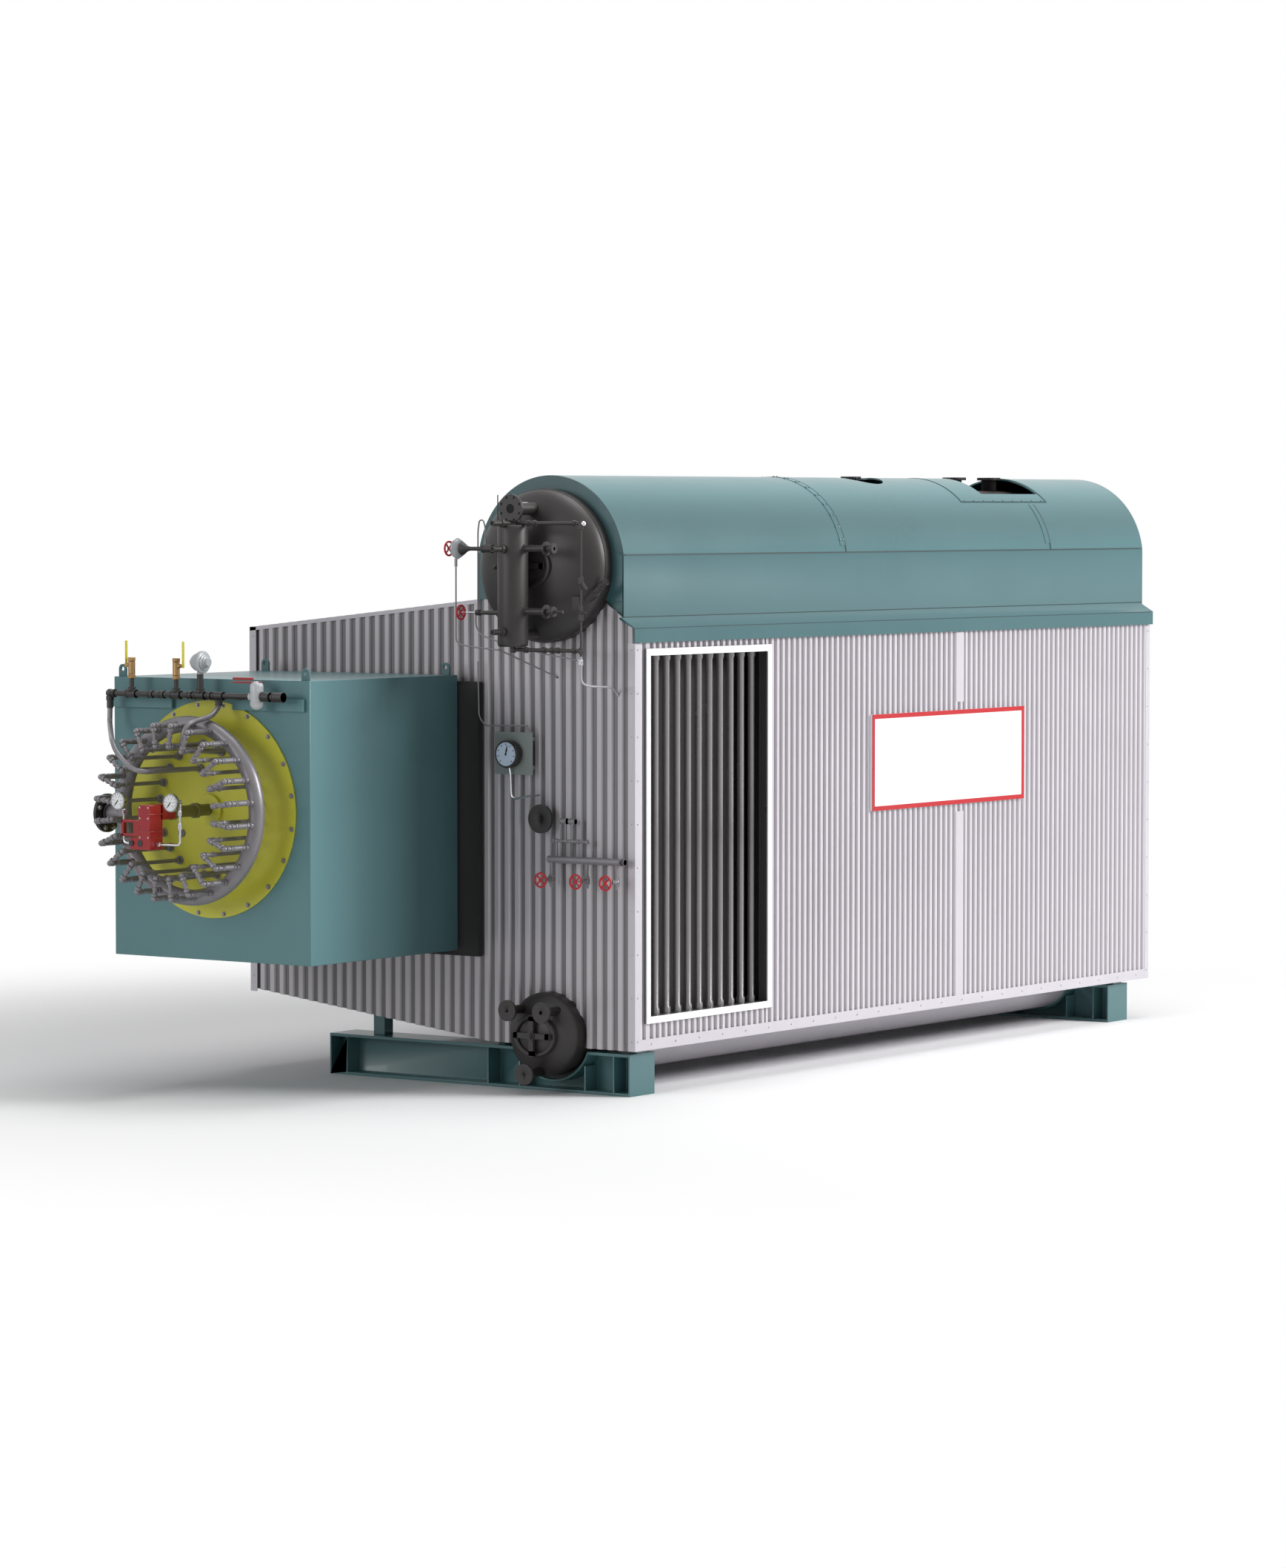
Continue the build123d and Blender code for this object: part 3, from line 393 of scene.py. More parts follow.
for name in ("front_wall", "rear_wall", "left_wall", "right_wall", "roof", "floor"):
    finish_node(name, casing_paint)
finish_node("front_wall", front_paint)
finish_node("right_wall", side_paint)
finish_node("casing_trim", trim_paint)

trim_thick = 0.003
trim_inside = 0.03
screw = hexagon(0.006, 0.005, 0.009)
screw_pitch = 0.30
trim_low, trim_high, sill_screws = 0.40, 3.2, 0.37
casing_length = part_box("rear_wall")[1].y - wall_low.y
left_x = wall_low.x - corner[0]
side_screw = aimed(screw, (0, 0, 0), (1, 0, 0))
front_screw = aimed(screw, (0, 0, 0), (0, -1, 0))
screw_rows = (
    (side_screw, (trim_thick, trim_inside, trim_low), (trim_thick, trim_inside, trim_high)),
    (side_screw, (trim_thick, casing_length - trim_inside, trim_low),
     (trim_thick, casing_length - trim_inside, trim_high)),
    (side_screw, (trim_thick, 0.2, sill_screws), (trim_thick, casing_length - 0.2, sill_screws)),
    (front_screw, (-trim_inside, -trim_thick, trim_low), (-trim_inside, -trim_thick, trim_high)),
    (front_screw, (left_x + trim_inside, -trim_thick, 0.7), (left_x + trim_inside, -trim_thick, 3.25)))
piece("casing_screws", joined(*[repeated(head, line_of(spot(*start), spot(*end), screw_pitch))
                                for head, start, end in screw_rows]), trim_paint)
eaves_left, eaves_right, flat_high = (-3.553, 3.319), (-1.400, 3.547), 0.028
points, faces = brick((0, -trim_thick, -flat_high), (1, 0.012, 0))
run, rise = np.subtract(eaves_right, eaves_left)
points = corner + np.stack([eaves_left[0] + run * points[:, 0], points[:, 1],
                            eaves_left[1] + rise * points[:, 0] + points[:, 2]], -1)
piece("roof_edge_flat", (points, faces), trim_paint)


# Drum cover: rolled sheet in teal enamel in three lengths, with a bolted hatch round the relief
# nozzles, flat skirts below the seam, a flashing over the casing's edge and plates at both ends.
# Lap strips cover the joints between the lengths, and pan-head bolts hold hatch and strips.
def rounded_edges(made, width, angle=40.0):
    """Rounds every edge sharper than the angle with a small bevel of two steps."""
    bevel = made.modifiers.new("rounded_edges", "BEVEL")
    bevel.width, bevel.segments = width, 2
    bevel.limit_method, bevel.angle_limit = "ANGLE", math.radians(angle)


sharp_edge = 32.0


def merged_copy(node, name, material, body="boiler", soften=0.0):
    """A merged, smooth-shaded copy of a frame node that replaces it in the same place and size.
    Edges sharper than 32 degrees stay sharp; soften rounds them with a small bevel of that width."""
    mesh = nodes[node].data.copy()
    mesh.name = name
    work = bmesh.new()
    work.from_mesh(mesh)
    bmesh.ops.remove_doubles(work, verts=work.verts, dist=0.00005)
    if soften:
        bmesh.ops.dissolve_limit(work, verts=work.verts, edges=work.edges, angle_limit=math.radians(1.0))
    work.to_mesh(mesh)
    work.free()
    mesh.shade_smooth()
    mesh.set_sharp_from_angle(angle=math.radians(sharp_edge))
    mesh.materials.clear()
    mesh.materials.append(material)
    made = bpy.data.objects.new(name, mesh)
    bpy.context.scene.collection.objects.link(made)
    if soften:
        rounded_edges(made, soften, sharp_edge)
    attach(made, body)
    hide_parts(node)
    return made


def true_roll(made):
    """Shades a rolled sheet as a true cylinder: where all three corners of a triangle lie on the
    cover's radius, each one's normal is its own direction from the roll's axis."""
    mesh = made.data
    corner_of = np.empty(len(mesh.loops), int)
    mesh.loops.foreach_get("vertex_index", corner_of)
    points = np.empty(len(mesh.vertices) * 3)
    mesh.vertices.foreach_get("co", points)
    normals = np.empty(len(mesh.loops) * 3)
    mesh.corner_normals.foreach_get("vector", normals)
    normals = normals.reshape(-1, 3)
    outward = points.reshape(-1, 3)[corner_of] - np.array([drum_x, 0, cover_z])
    outward[:, 1] = 0
    reach = np.linalg.norm(outward, axis=1, keepdims=True)
    outward = outward / np.maximum(reach, 0.001)
    rolled = (abs(reach.reshape(-1, 3) - cover_radius) < 0.002).all(axis=1).repeat(3)
    normals[rolled] = outward[rolled]
    mesh.normals_split_custom_set(normals.tolist())


teal = painted("teal_enamel", (0.060, 0.148, 0.158), roughness=0.34, drift=0.05, streaks=0.02, coat=0.15)
drum_x = float(sum(end.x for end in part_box("steam_drum")) / 2)
cover_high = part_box("drum_cover")[1]
cover_radius = 0.654
cover_z = cover_high.z - cover_radius
drum_z = float(sum(end.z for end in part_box("steam_drum")) / 2)
# Painted shade: the skirts, ends and bolts of the cover take a darker copy of the teal enamel.
shaded_cover_teal = painted("cover_teal_enamel", (0.043, 0.116, 0.128), roughness=0.34, drift=0.05, streaks=0.02,
                     coat=0.15)
# Painted light and shade on the rolled sheet: its colour is scaled by height in soft bands, lightest just below
# the crown, darkest about halfway down and lighter again low on the roll, as painted reflections of the lamps
# above.
rolled_teal = painted("rolled_teal_enamel", (0.043, 0.126, 0.138), roughness=0.30, drift=0.05, streaks=0.02,
                      coat=0.15)
painted_light_share, painted_light_scale = painted_light_along(rolled_teal, "Z", cover_z, cover_high.z)
n, l = rolled_teal.node_tree.nodes, rolled_teal.node_tree.links
painted_light_bands = n.new("ShaderNodeValToRGB")
painted_light_bands.color_ramp.interpolation = "B_SPLINE"
for place_at, level in ((0.12, 0.66), (0.45, 0.38), (0.72, 0.62), (0.90, 0.86)):
    stop = painted_light_bands.color_ramp.elements.new(place_at)
    stop.color = (level, level, level, 1)
painted_light_bands.color_ramp.elements[0].color = (0.62, 0.62, 0.62, 1)
painted_light_bands.color_ramp.elements[-1].color = (0.75, 0.75, 0.75, 1)
painted_light_strength = n.new("ShaderNodeMath")
painted_light_strength.operation = "MULTIPLY"
painted_light_strength.inputs[1].default_value = 1.7
l.new(painted_light_share.outputs["Result"], painted_light_bands.inputs["Fac"])
l.new(painted_light_bands.outputs["Color"], painted_light_strength.inputs[0])
l.new(painted_light_strength.outputs[0], painted_light_scale)
cover_sheet = merged_copy("drum_cover", "drum_cover_sheet", rolled_teal)
true_roll(cover_sheet)
for node in ("cover_skirt_right", "cover_skirt_left", "cover_ends"):
    merged_copy(node, node + "_sheet", shaded_cover_teal)


def rolled_strip(y0, y1, rise, first, last, steps=48):
    """A thin strip rolled over the cover between two angles from its right-hand side: an arc of
    points on the cover's radius, at its surface and raised by rise, for each of the two edges."""
    angle = np.linspace(math.radians(first), math.radians(last), steps)
    top = cover_radius + rise
    rows = []
    for y, radius in ((y0, cover_radius), (y0, top), (y1, top), (y1, cover_radius)):
        rows.append(np.stack([drum_x + radius * np.cos(angle), np.full(steps, y),
                              cover_z + radius * np.sin(angle)], -1))
    return np.concatenate(rows), grid_faces(4, steps, around=False)


def on_cover(y, angle, rise=0.0):
    """A place on the cover's curved surface, at an angle from its right-hand side."""
    turn = np.radians(angle)
    radius = cover_radius + rise
    return np.stack([drum_x + radius * np.cos(turn), y + 0 * turn, cover_z + radius * np.sin(turn)], -1)


strip_rise, strip_half, seam_rise, seam_half = 0.003, 0.035, 0.0025, 0.006
cover_joints, hatch_y, hatch_side = (2.851, 5.841), (4.825, 6.110), 44.9
strip_ends = (168, hatch_side - 2)


def band(y, half, rise, first, last):
    """A strip rolled over the cover, with its middle a distance behind the front wall."""
    return rolled_strip(corner[1] + y - half, corner[1] + y + half, rise, first, last)


cover_strips = [band(y, strip_half, strip_rise, 12, end) for y, end in zip(cover_joints, strip_ends)]
pan = turned([(0, 0), (0.011, 0), (0.010, 0.003), (0.006, 0.005), (0, 0.005)], 10)
pan_places = [(y, angle, strip_rise) for y in (cover_joints[0] - 0.022, cover_joints[0] + 0.022)
              for angle in np.arange(16, 166, 9.0)]
pan_places += [(y, angle, 0.0) for angle in (hatch_side + 1.5, 178.5 - hatch_side)
               for y in np.linspace(hatch_y[0] + 0.06, hatch_y[1] - 0.06, 9)]
pans = [aimed(pan, on_cover(corner[1] + y, angle, rise),
              (math.cos(math.radians(angle)), 0, math.sin(math.radians(angle))))
        for y, angle, rise in pan_places]
seam_dark = painted("seam_shadow", (0.014, 0.034, 0.036), roughness=0.6, bump=0.0)
joint_and_bend_shade_lines = [band(y + strip_half, seam_half, seam_rise + 0.001, 7.5, end)
             for y, end in zip(cover_joints, strip_ends)]
joint_and_bend_shade_lines += [band(y, seam_half, seam_rise, hatch_side, 180 - hatch_side) for y in hatch_y]
joint_and_bend_shade_lines += [rolled_strip(corner[1] + hatch_y[0], corner[1] + hatch_y[1], seam_rise, side, side + 1.0, 3)
              for side in (hatch_side, 179.0 - hatch_side)]
# The rolled line along the skirt's seam and the lines round the hatch and the lap strips are dark joints; the
# two straight strips at the skirt's bend and the fascia's top are painted shade that marks those bends.
joint_and_bend_shade_lines += [rolled_strip(corner[1] + 0.01, cover_high.y - 0.01, seam_rise, 7.0, 7.9, 3),
              brick(spot(-0.100, 0.005, 3.428), (corner[0] - 0.0965, cover_high.y, 3.437)),
              brick(spot(0.020, -0.030, 3.353), (corner[0] + 0.0254, cover_high.y - 0.05, 3.359))]
piece("cover_seams", joined(*joint_and_bend_shade_lines), seam_dark)
piece("cover_lap_strips", joined(*cover_strips), rolled_teal)
piece("cover_bolts", joined(*pans), shaded_cover_teal)


# Steam drum: a thick rolled shell with dished heads, an oval manway with its yoke bar in each, and
# flanged nozzles that reach through the cover. All carry a dark primer that weathers to grey brown.
def bar(start, end, radius, edge=0.0, sides=20):
    """A round bar between two places, with its end edges cut back by edge."""
    start, end = np.asarray(start, float), np.asarray(end, float)
    long = float(np.linalg.norm(end - start))
    body = turned([(0, 0), (radius - edge, 0), (radius, edge), (radius, long - edge), (radius - edge, long),
                   (0, long)], sides)
    return aimed(body, start, end - start)


def dished(radius, depth, at, along):
    """A dished head: a quarter ellipse from its rim to its crown, turned round the axis, with a short
    straight rim that stands in the shell."""
    turn = np.linspace(0, math.pi / 2, 17)
    curve = np.stack([radius * np.cos(turn), depth * np.sin(turn)], -1)
    return aimed(turned(np.concatenate([[(0, -0.004), (radius, -0.004)], curve]), 72), at, along)


def on_circle(shape, at, along, radius, count, first=0.0):
    """A shape repeated round a circle about an axis; first is the angle of the first one."""
    turn = math.radians(first) + np.arange(count) * 2 * math.pi / count
    places = (np.stack([radius * np.cos(turn), radius * np.sin(turn), 0 * turn], -1), np.zeros((0, 4), int))
    return repeated(aimed(shape, (0, 0, 0), along), aimed(places, at, along)[0])


def hoop(radius, thick, sides=48, steps=12):
    """A ring of round section: a circle beside the axis, turned round it."""
    turn = np.linspace(0, 2 * math.pi, steps + 1)
    return turned(np.stack([radius + thick * np.cos(turn), thick * np.sin(turn)], -1), sides)


drum_primer = painted("drum_primer", (0.024, 0.020, 0.0195), roughness=0.46, drift=0.16, streaks=0.05,
                      scale=3.0, bump=0.12)
dark_steel = painted("dark_steel", (0.020, 0.018, 0.018), roughness=0.45, drift=0.12, scale=4.0, bump=0.08)
nut_steel = painted("nut_steel", (0.30, 0.29, 0.29), roughness=0.35, metallic=0.8, drift=0.08)
for node, slot in (("steam_drum", "drum_steel"), ("mud_drum", "drum_steel"), ("drum_nozzles", "dark_steel"),
                   ("mud_drum_nozzles", "drum_steel"), ("wall_nozzle", "drum_steel")):
    merged_copy(node, node + "_body", drum_primer if slot == "drum_steel" else dark_steel)


def manway(at, sign, half_wide, half_high, deep):
    """An oval manway that faces along y: a rim, a dished cover and a crossed yoke with a nut, each from
    its seat forwards. Turned shapes are stretched sideways into ovals."""
    stretch = np.array([half_wide / half_high, 1.0, 1.0])
    rim = [(half_high - 0.030, -0.05), (half_high, -0.05), (half_high, 0.3 * deep),
           (half_high - 0.006, 0.36 * deep), (half_high - 0.024, 0.36 * deep), (half_high - 0.030, 0.30 * deep),
           (half_high - 0.030, -0.05)]
    cover = [(0, -0.05), (half_high - 0.0305, -0.05), (half_high - 0.0305, 0.14 * deep),
             (0.5 * half_high, 0.24 * deep), (0, 0.26 * deep)]
    shapes = []
    for profile in (rim, cover):
        points, faces = turned(profile, 56)
        shapes.append((points * stretch, faces))
    arm, thick = 0.92 * half_high, 0.020
    shapes += [brick((-1.12 * arm, -thick, 0.44 * deep), (1.12 * arm, thick, 0.70 * deep)),
               brick((-thick, -arm, 0.44 * deep), (thick, arm, 0.70 * deep)),
               *[brick((x - thick, -thick, 0.1 * deep), (x + thick, thick, 0.70 * deep)) for x in (-arm, arm)],
               *[brick((-thick, z - thick, 0.1 * deep), (thick, z + thick, 0.70 * deep))
                 for z in (-0.9 * arm, 0.9 * arm)],
               disc(0.034, 0.78 * deep, 24, 0.2 * deep), disc(0.022, 0.94 * deep, 6, 0.78 * deep),
               disc(0.010, deep, 14, 0.94 * deep)]
    return aimed(joined(*shapes), at, (0, sign, 0))


low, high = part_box("drum_manways")
manways = []
for node, wide, tall in (("steam_drum_heads", 0.205, 0.160), ("mud_drum_heads", 0.185, 0.155)):
    start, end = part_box(node)
    deep = high.y - end.y + 0.012 if node == "steam_drum_heads" else 0.095
    for crown, sign in ((start.y, -1), (end.y, 1)):
        manways.append(manway((drum_x, crown + sign * -0.012, (start.z + end.z) / 2), sign, wide, tall, deep))
piece("manway_covers", joined(*manways), drum_primer, node="drum_manways")
for node, radius, depth in (("steam_drum_heads", 0.55, 0.205), ("mud_drum_heads", 0.3035, 0.125)):
    low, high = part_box(node)
    axis_z = (low.z + high.z) / 2
    piece(node + "_dished", joined(
        dished(radius, depth, (drum_x, low.y + depth, axis_z), (0, -1, 0)),
        dished(radius, depth, (drum_x, high.y - depth, axis_z), (0, 1, 0))),
        drum_primer, node=node)
weld = hoop(0.5505, 0.004, 96, 6)
low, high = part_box("steam_drum_heads")
piece("drum_head_welds", joined(aimed(weld, (drum_x, low.y + 0.203, drum_z), (0, -1, 0)),
                                aimed(weld, (drum_x, high.y - 0.203, drum_z), (0, 1, 0))), dark_steel)


# Windbox: folded plate in teal enamel with a black seal where it meets the casing, flat rails under
# the pilot header, and plate lugs with a round eye on its top edge and on the casing's.
# Painted light and shade: the windbox takes a lighter copy of the teal enamel for its lit front, darkened
# towards the rear to 0.58 of itself as the casing's shadow painted on it.
windbox_teal_painted_light = painted("windbox_teal_painted_light", (0.088, 0.205, 0.220), roughness=0.40, drift=0.05, streaks=0.02,
                       coat=0.1)
painted_shade_along(windbox_teal_painted_light, "Y", float(corner[1]) - 1.780, float(corner[1]) - 1.20, 0.58)
black_seal = painted("black_seal", (0.008, 0.008, 0.008), roughness=0.7)
merged_copy("windbox", "windbox_plates", windbox_teal_painted_light, soften=0.004)
merged_copy("throat_seal", "throat_seal_strip", black_seal)
merged_copy("lifting_lugs", "lifting_lug_plates", teal, soften=0.002)
piece("header_rail_plates", joined(*[brick(spot(x0, -1.818, 2.783), spot(x1, -1.786, 2.870))
                                     for x0, x1 in ((-3.330, -2.769), (-2.207, -1.564))]), windbox_teal_painted_light)


# Base: wide-flange beams across the boiler with plate stiffeners, and posts under the mud drum's side,
# all in the same teal enamel. The mud drum between the beams is lagged in plain grey sheet, with painted
# shade that leaves it nearly black in its first 0.42 m.
for node in ("base_beam_front", "base_beam_rear", "support_posts"):
    merged_copy(node, node + "_steel", teal, soften=0.0015)
lagging_sheet = painted("lagging_sheet", (0.47, 0.45, 0.49), roughness=0.38, metallic=0.2, drift=0.03)
# Painted shade: the lagging is 0.05 of its colour up to 0.42 m behind the casing's front.
painted_shade_along(lagging_sheet, "Y", float(corner[1]) + 0.44, float(corner[1]) + 0.42, 0.05)
merged_copy("mud_drum_lagging", "lagging_sheets", lagging_sheet)


# Flue outlet: a white enamelled frame round the first row of boiler tubes, which run between an upper
# and a lower header with a swaged collar at each end, and a dark plate behind them. The bare sign board
# on the same wall is white plate with a red border.
white_enamel = painted("white_enamel", (0.86, 0.86, 0.87), roughness=0.3, drift=0.015, coat=0.3)
frame_white_shaded_reveal = painted("frame_white_shaded_reveal", (0.86, 0.86, 0.87), roughness=0.3, drift=0.015, coat=0.3)
# Painted shade: the frame's white falls to 0.05 of itself from 22 mm to 10 mm out from the casing's side, so
# its reveal is dark.
painted_shade_along(frame_white_shaded_reveal, "X", float(corner[0]) + 0.022, float(corner[0]) + 0.010, 0.05)
red_enamel = painted("red_enamel", (0.33, 0.008, 0.014), roughness=0.35, drift=0.05, coat=0.3)
tube_steel = painted("tube_steel", (0.20, 0.19, 0.195), roughness=0.24, metallic=0.30, drift=0.03, streaks=0.02,
                     scale=2.5, bump=0.0, coat=0.3)
merged_copy("flue_outlet_frame", "outlet_frame", frame_white_shaded_reveal, soften=0.003)
merged_copy("bank_headers", "outlet_headers", dark_steel, soften=0.003)
merged_copy("gas_baffle", "outlet_baffle", dark_steel)
merged_copy("sign_panel", "sign_plate", white_enamel)
low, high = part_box("sign_border")
edge = 0.034
sign_red = painted("sign_red", (0.42, 0.005, 0.010), roughness=0.45, drift=0.0, coat=0.0)
piece("sign_frame", joined(
    brick((low.x, low.y, low.z), (high.x, high.y, low.z + edge)),
    brick((low.x, low.y, high.z - edge), (high.x, high.y, high.z)),
    brick((low.x, low.y, low.z + edge), (high.x, low.y + edge, high.z - edge)),
    brick((low.x, high.y - edge, low.z + edge), (high.x, high.y, high.z - edge))),
    sign_red, node="sign_border")
low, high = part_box("bank_tubes")
tube_r, collar_r, collar_h = 0.0254, 0.033, 0.060
tube_height = high.z - low.z
tube_x = (low.x + high.x) / 2
tube_profile = [(0, 0), (collar_r, 0), (collar_r, collar_h - 0.012), (tube_r, collar_h),
                (tube_r, tube_height - collar_h), (collar_r, tube_height - collar_h + 0.012),
                (collar_r, tube_height), (0, tube_height)]
piece("boiler_tubes", repeated(turned(tube_profile, 28), np.stack(
    [np.full(11, tube_x), np.linspace(low.y + collar_r, high.y - collar_r, 11), np.full(11, low.z)], -1)),
    tube_steel, node="bank_tubes")


# Burner plate: a round steel plate in yellow-green enamel, held to the windbox by twenty hexagon
# screws near its rim, with a small round sight port.
burner = spot(-2.424, -1.802, 2.070)


def at_burner(x, out, z):
    """The frame's point for a place from the burner's centre: right, forward of the plate, and up."""
    return burner + np.array([x, -out, z], float)


yellow_plate = painted("yellow_plate", (0.52, 0.51, 0.040), roughness=0.36, drift=0.06, scale=2.0, coat=0.15)
grey_pipe = painted("grey_pipe", (0.215, 0.205, 0.218), roughness=0.40, metallic=0.35, drift=0.06, scale=3.0)
forward = (0, -1, 0)
plate_low, plate_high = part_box("burner_plate")
piece("front_plate", bar((burner[0], plate_high.y, burner[2]), (burner[0], plate_low.y, burner[2]),
                         (plate_high.x - plate_low.x) / 2, 0.002, 120),
      yellow_plate, node="burner_plate")
piece("front_plate_bolts", on_circle(hexagon(0.0125, 0.013, 0.019), at_burner(0, 0, 0), forward, 0.751, 20, 99),
      nut_steel)
piece("sight_port", joined(*[
    bar(at_burner(-0.267, back, -0.178), at_burner(-0.267, front, -0.178), radius, 0.002)
    for back, front, radius in ((0, 0.014, 0.030), (0.014, 0.022, 0.020))]), grey_pipe)


# Gas ring: a bent pipe ring with a flanged inlet on its left. Twenty-four gas lances leave its front,
# turn inwards through ball elbows and run back into the plate; each has a boss, a union and a barrel.
def tube(path, radius, sides=14):
    """A round bar along a path: a circle across the path at each of its points. Its two directions
    come from crossing the path's direction with the axis that the path follows least."""
    path = np.asarray(path, float)
    step = np.gradient(path, axis=0)
    step = step / np.linalg.norm(step, axis=1, keepdims=True)
    side = np.cross(np.eye(3)[np.argmin(np.abs(step).max(axis=0))], step)
    side = side / np.linalg.norm(side, axis=1, keepdims=True)
    other = np.cross(step, side)
    turn = np.linspace(0, 2 * np.pi, sides, endpoint=False)[None, :, None]
    wide = np.broadcast_to(np.asarray(radius, float), len(path))[:, None, None]
    rings = path[:, None] + wide * (np.cos(turn) * side[:, None] + np.sin(turn) * other[:, None])
    ends = [np.repeat(path[i][None, None], sides, axis=1) for i in (0, -1)]
    return np.concatenate([ends[0], rings, ends[1]]).reshape(-1, 3), grid_faces(len(path) + 2, sides)


def rounded(points, radius, steps=6):
    """A path with rounded corners: each corner becomes a quadratic curve between the places that lie
    a radius before and after it, or nearly half a run where the run is short."""
    points = np.asarray(points, float)
    run = np.diff(points, axis=0)
    long = np.linalg.norm(run, axis=1, keepdims=True)
    cut = np.minimum(radius, 0.48 * np.minimum(long[:-1], long[1:]))
    before = points[1:-1] - run[:-1] / long[:-1] * cut
    after = points[1:-1] + run[1:] / long[1:] * cut
    t = np.linspace(0, 1, steps)[None, :, None]
    curve = (1 - t) ** 2 * before[:, None] + 2 * t * (1 - t) * points[1:-1, None] + t ** 2 * after[:, None]
    return np.concatenate([points[:1], curve.reshape(-1, 3), points[-1:]])


def round_burner(shape, count, first):
    """Copies of a shape given from the burner's centre as (radial, forward, sideways), turned evenly
    round the burner's axis."""
    points, faces = shape
    turn = (math.radians(first) + np.arange(count) * 2 * math.pi / count)[:, None]
    x = points[None, :, 0] * np.cos(turn) - points[None, :, 2] * np.sin(turn)
    z = points[None, :, 0] * np.sin(turn) + points[None, :, 2] * np.cos(turn)
    y = np.broadcast_to(points[None, :, 1], x.shape)
    moved = np.stack([burner[0] + x, burner[1] - y, burner[2] + z], -1).reshape(-1, 3)
    numbers = faces[None] + (np.arange(count) * len(points))[:, None, None]
    return moved, numbers.reshape(-1, 4)


def ball(at, radius):
    """A ball: half a circle turned round the z axis."""
    turn = np.linspace(-math.pi / 2, math.pi / 2, 11)
    return aimed(turned(radius * np.stack([np.cos(turn), np.sin(turn)], -1), 16), at)


ring_r, ring_pipe, ring_out, lance_r = 0.616, 0.057, 0.230, 0.470
inlet_z = -0.040
inlet_end = -0.785
piece("gas_ring_pipe", joined(
    aimed(hoop(ring_r, ring_pipe, 96, 20), at_burner(0, ring_out, 0), forward),
    bar(at_burner(-ring_r, ring_out, inlet_z), at_burner(inlet_end + 0.02, ring_out, inlet_z), ring_pipe,
        0.0, 28)), grey_pipe, node="gas_ring")
flange_at = at_burner(inlet_end, ring_out, inlet_z)
flange_back = flange_at + (0.025, 0, 0)
piece("gas_inlet_flange", joined(
    bar(flange_at, flange_back, 0.139, 0.002, 48),
    bar(flange_back, flange_at + (0.050, 0, 0), 0.074, 0.010, 32)), dark_steel)
piece("gas_inlet_nuts", on_circle(hexagon(0.016, 0.016, 0.020), flange_back, (1, 0, 0), 0.112, 8, 22.5),
      nut_steel)
lance_top = 0.527
lance = rounded([(ring_r, ring_out, 0), (ring_r, lance_top, 0), (lance_r, lance_top, 0), (lance_r, 0, 0)],
                0.030, 6)
lance_fittings = (
    (ring_r, lance_top - 0.042, ring_r, lance_top - 0.016, 0.0225, 0.003, 12),
    (ring_r - 0.040, lance_top, ring_r - 0.016, lance_top, 0.0225, 0.003, 12),
    (lance_r + 0.016, lance_top, lance_r + 0.040, lance_top, 0.0225, 0.003, 12),
    (lance_r, lance_top - 0.042, lance_r, lance_top - 0.016, 0.0225, 0.003, 12),
    ((ring_r + lance_r) / 2 - 0.013, lance_top, (ring_r + lance_r) / 2 + 0.013, lance_top, 0.020, 0.003, 6),
    (ring_r, ring_out + 0.050, ring_r, ring_out + 0.080, 0.024, 0.004, 18),
    (ring_r, ring_out + 0.092, ring_r, ring_out + 0.112, 0.0215, 0.003, 6),
    (ring_r, ring_out + 0.114, ring_r, ring_out + 0.214, 0.0205, 0.006, 18),
    (ring_r, ring_out + 0.216, ring_r, ring_out + 0.234, 0.0215, 0.003, 6),
    (lance_r, 0.0, lance_r, 0.012, 0.032, 0.003, 20),
    (lance_r, 0.012, lance_r, 0.048, 0.0225, 0.003, 6),
    (lance_r, lance_top - 0.120, lance_r, lance_top - 0.096, 0.0215, 0.003, 6))
piece("gas_lances", round_burner(joined(
    tube(lance, 0.0145, 14), ball((ring_r, lance_top, 0), 0.0215), ball((lance_r, lance_top, 0), 0.0215),
    *[bar((r0, out0, 0), (r1, out1, 0), *size) for r0, out0, r1, out1, *size in lance_fittings]), 24, 7.5),
    grey_pipe, node="gas_injectors")


# Burner gun: a tube through a flanged base in the middle of the plate. On its front sits the actuator,
# a red cast housing with a port block, a closed loop of bar at its left side and cover screws.
gun_at = at_burner(0, 0, 0)
piece("gun_base", bar(gun_at, at_burner(0, 0.030, 0), 0.110, 0.003, 40), yellow_plate)
piece("gun_tube", joined(*[
    bar(at_burner(0, back, 0), at_burner(0, front, 0), *size) for back, front, *size in (
        (0.030, 0.442, 0.042, 0, 28), (0.150, 0.190, 0.054, 0.003, 28), (0.400, 0.4415, 0.056, 0.003, 28))]),
    painted("olive_gun", (0.13, 0.125, 0.030), roughness=0.45, drift=0.08), node="burner_gun")


def casting(*blocks):
    """Blocks given as two opposite corners from the burner's centre, as (right, forward, up)."""
    corners = np.array([[at_burner(*low), at_burner(*high)] for low, high in blocks])
    return [brick(pair.min(axis=0), pair.max(axis=0)) for pair in corners]


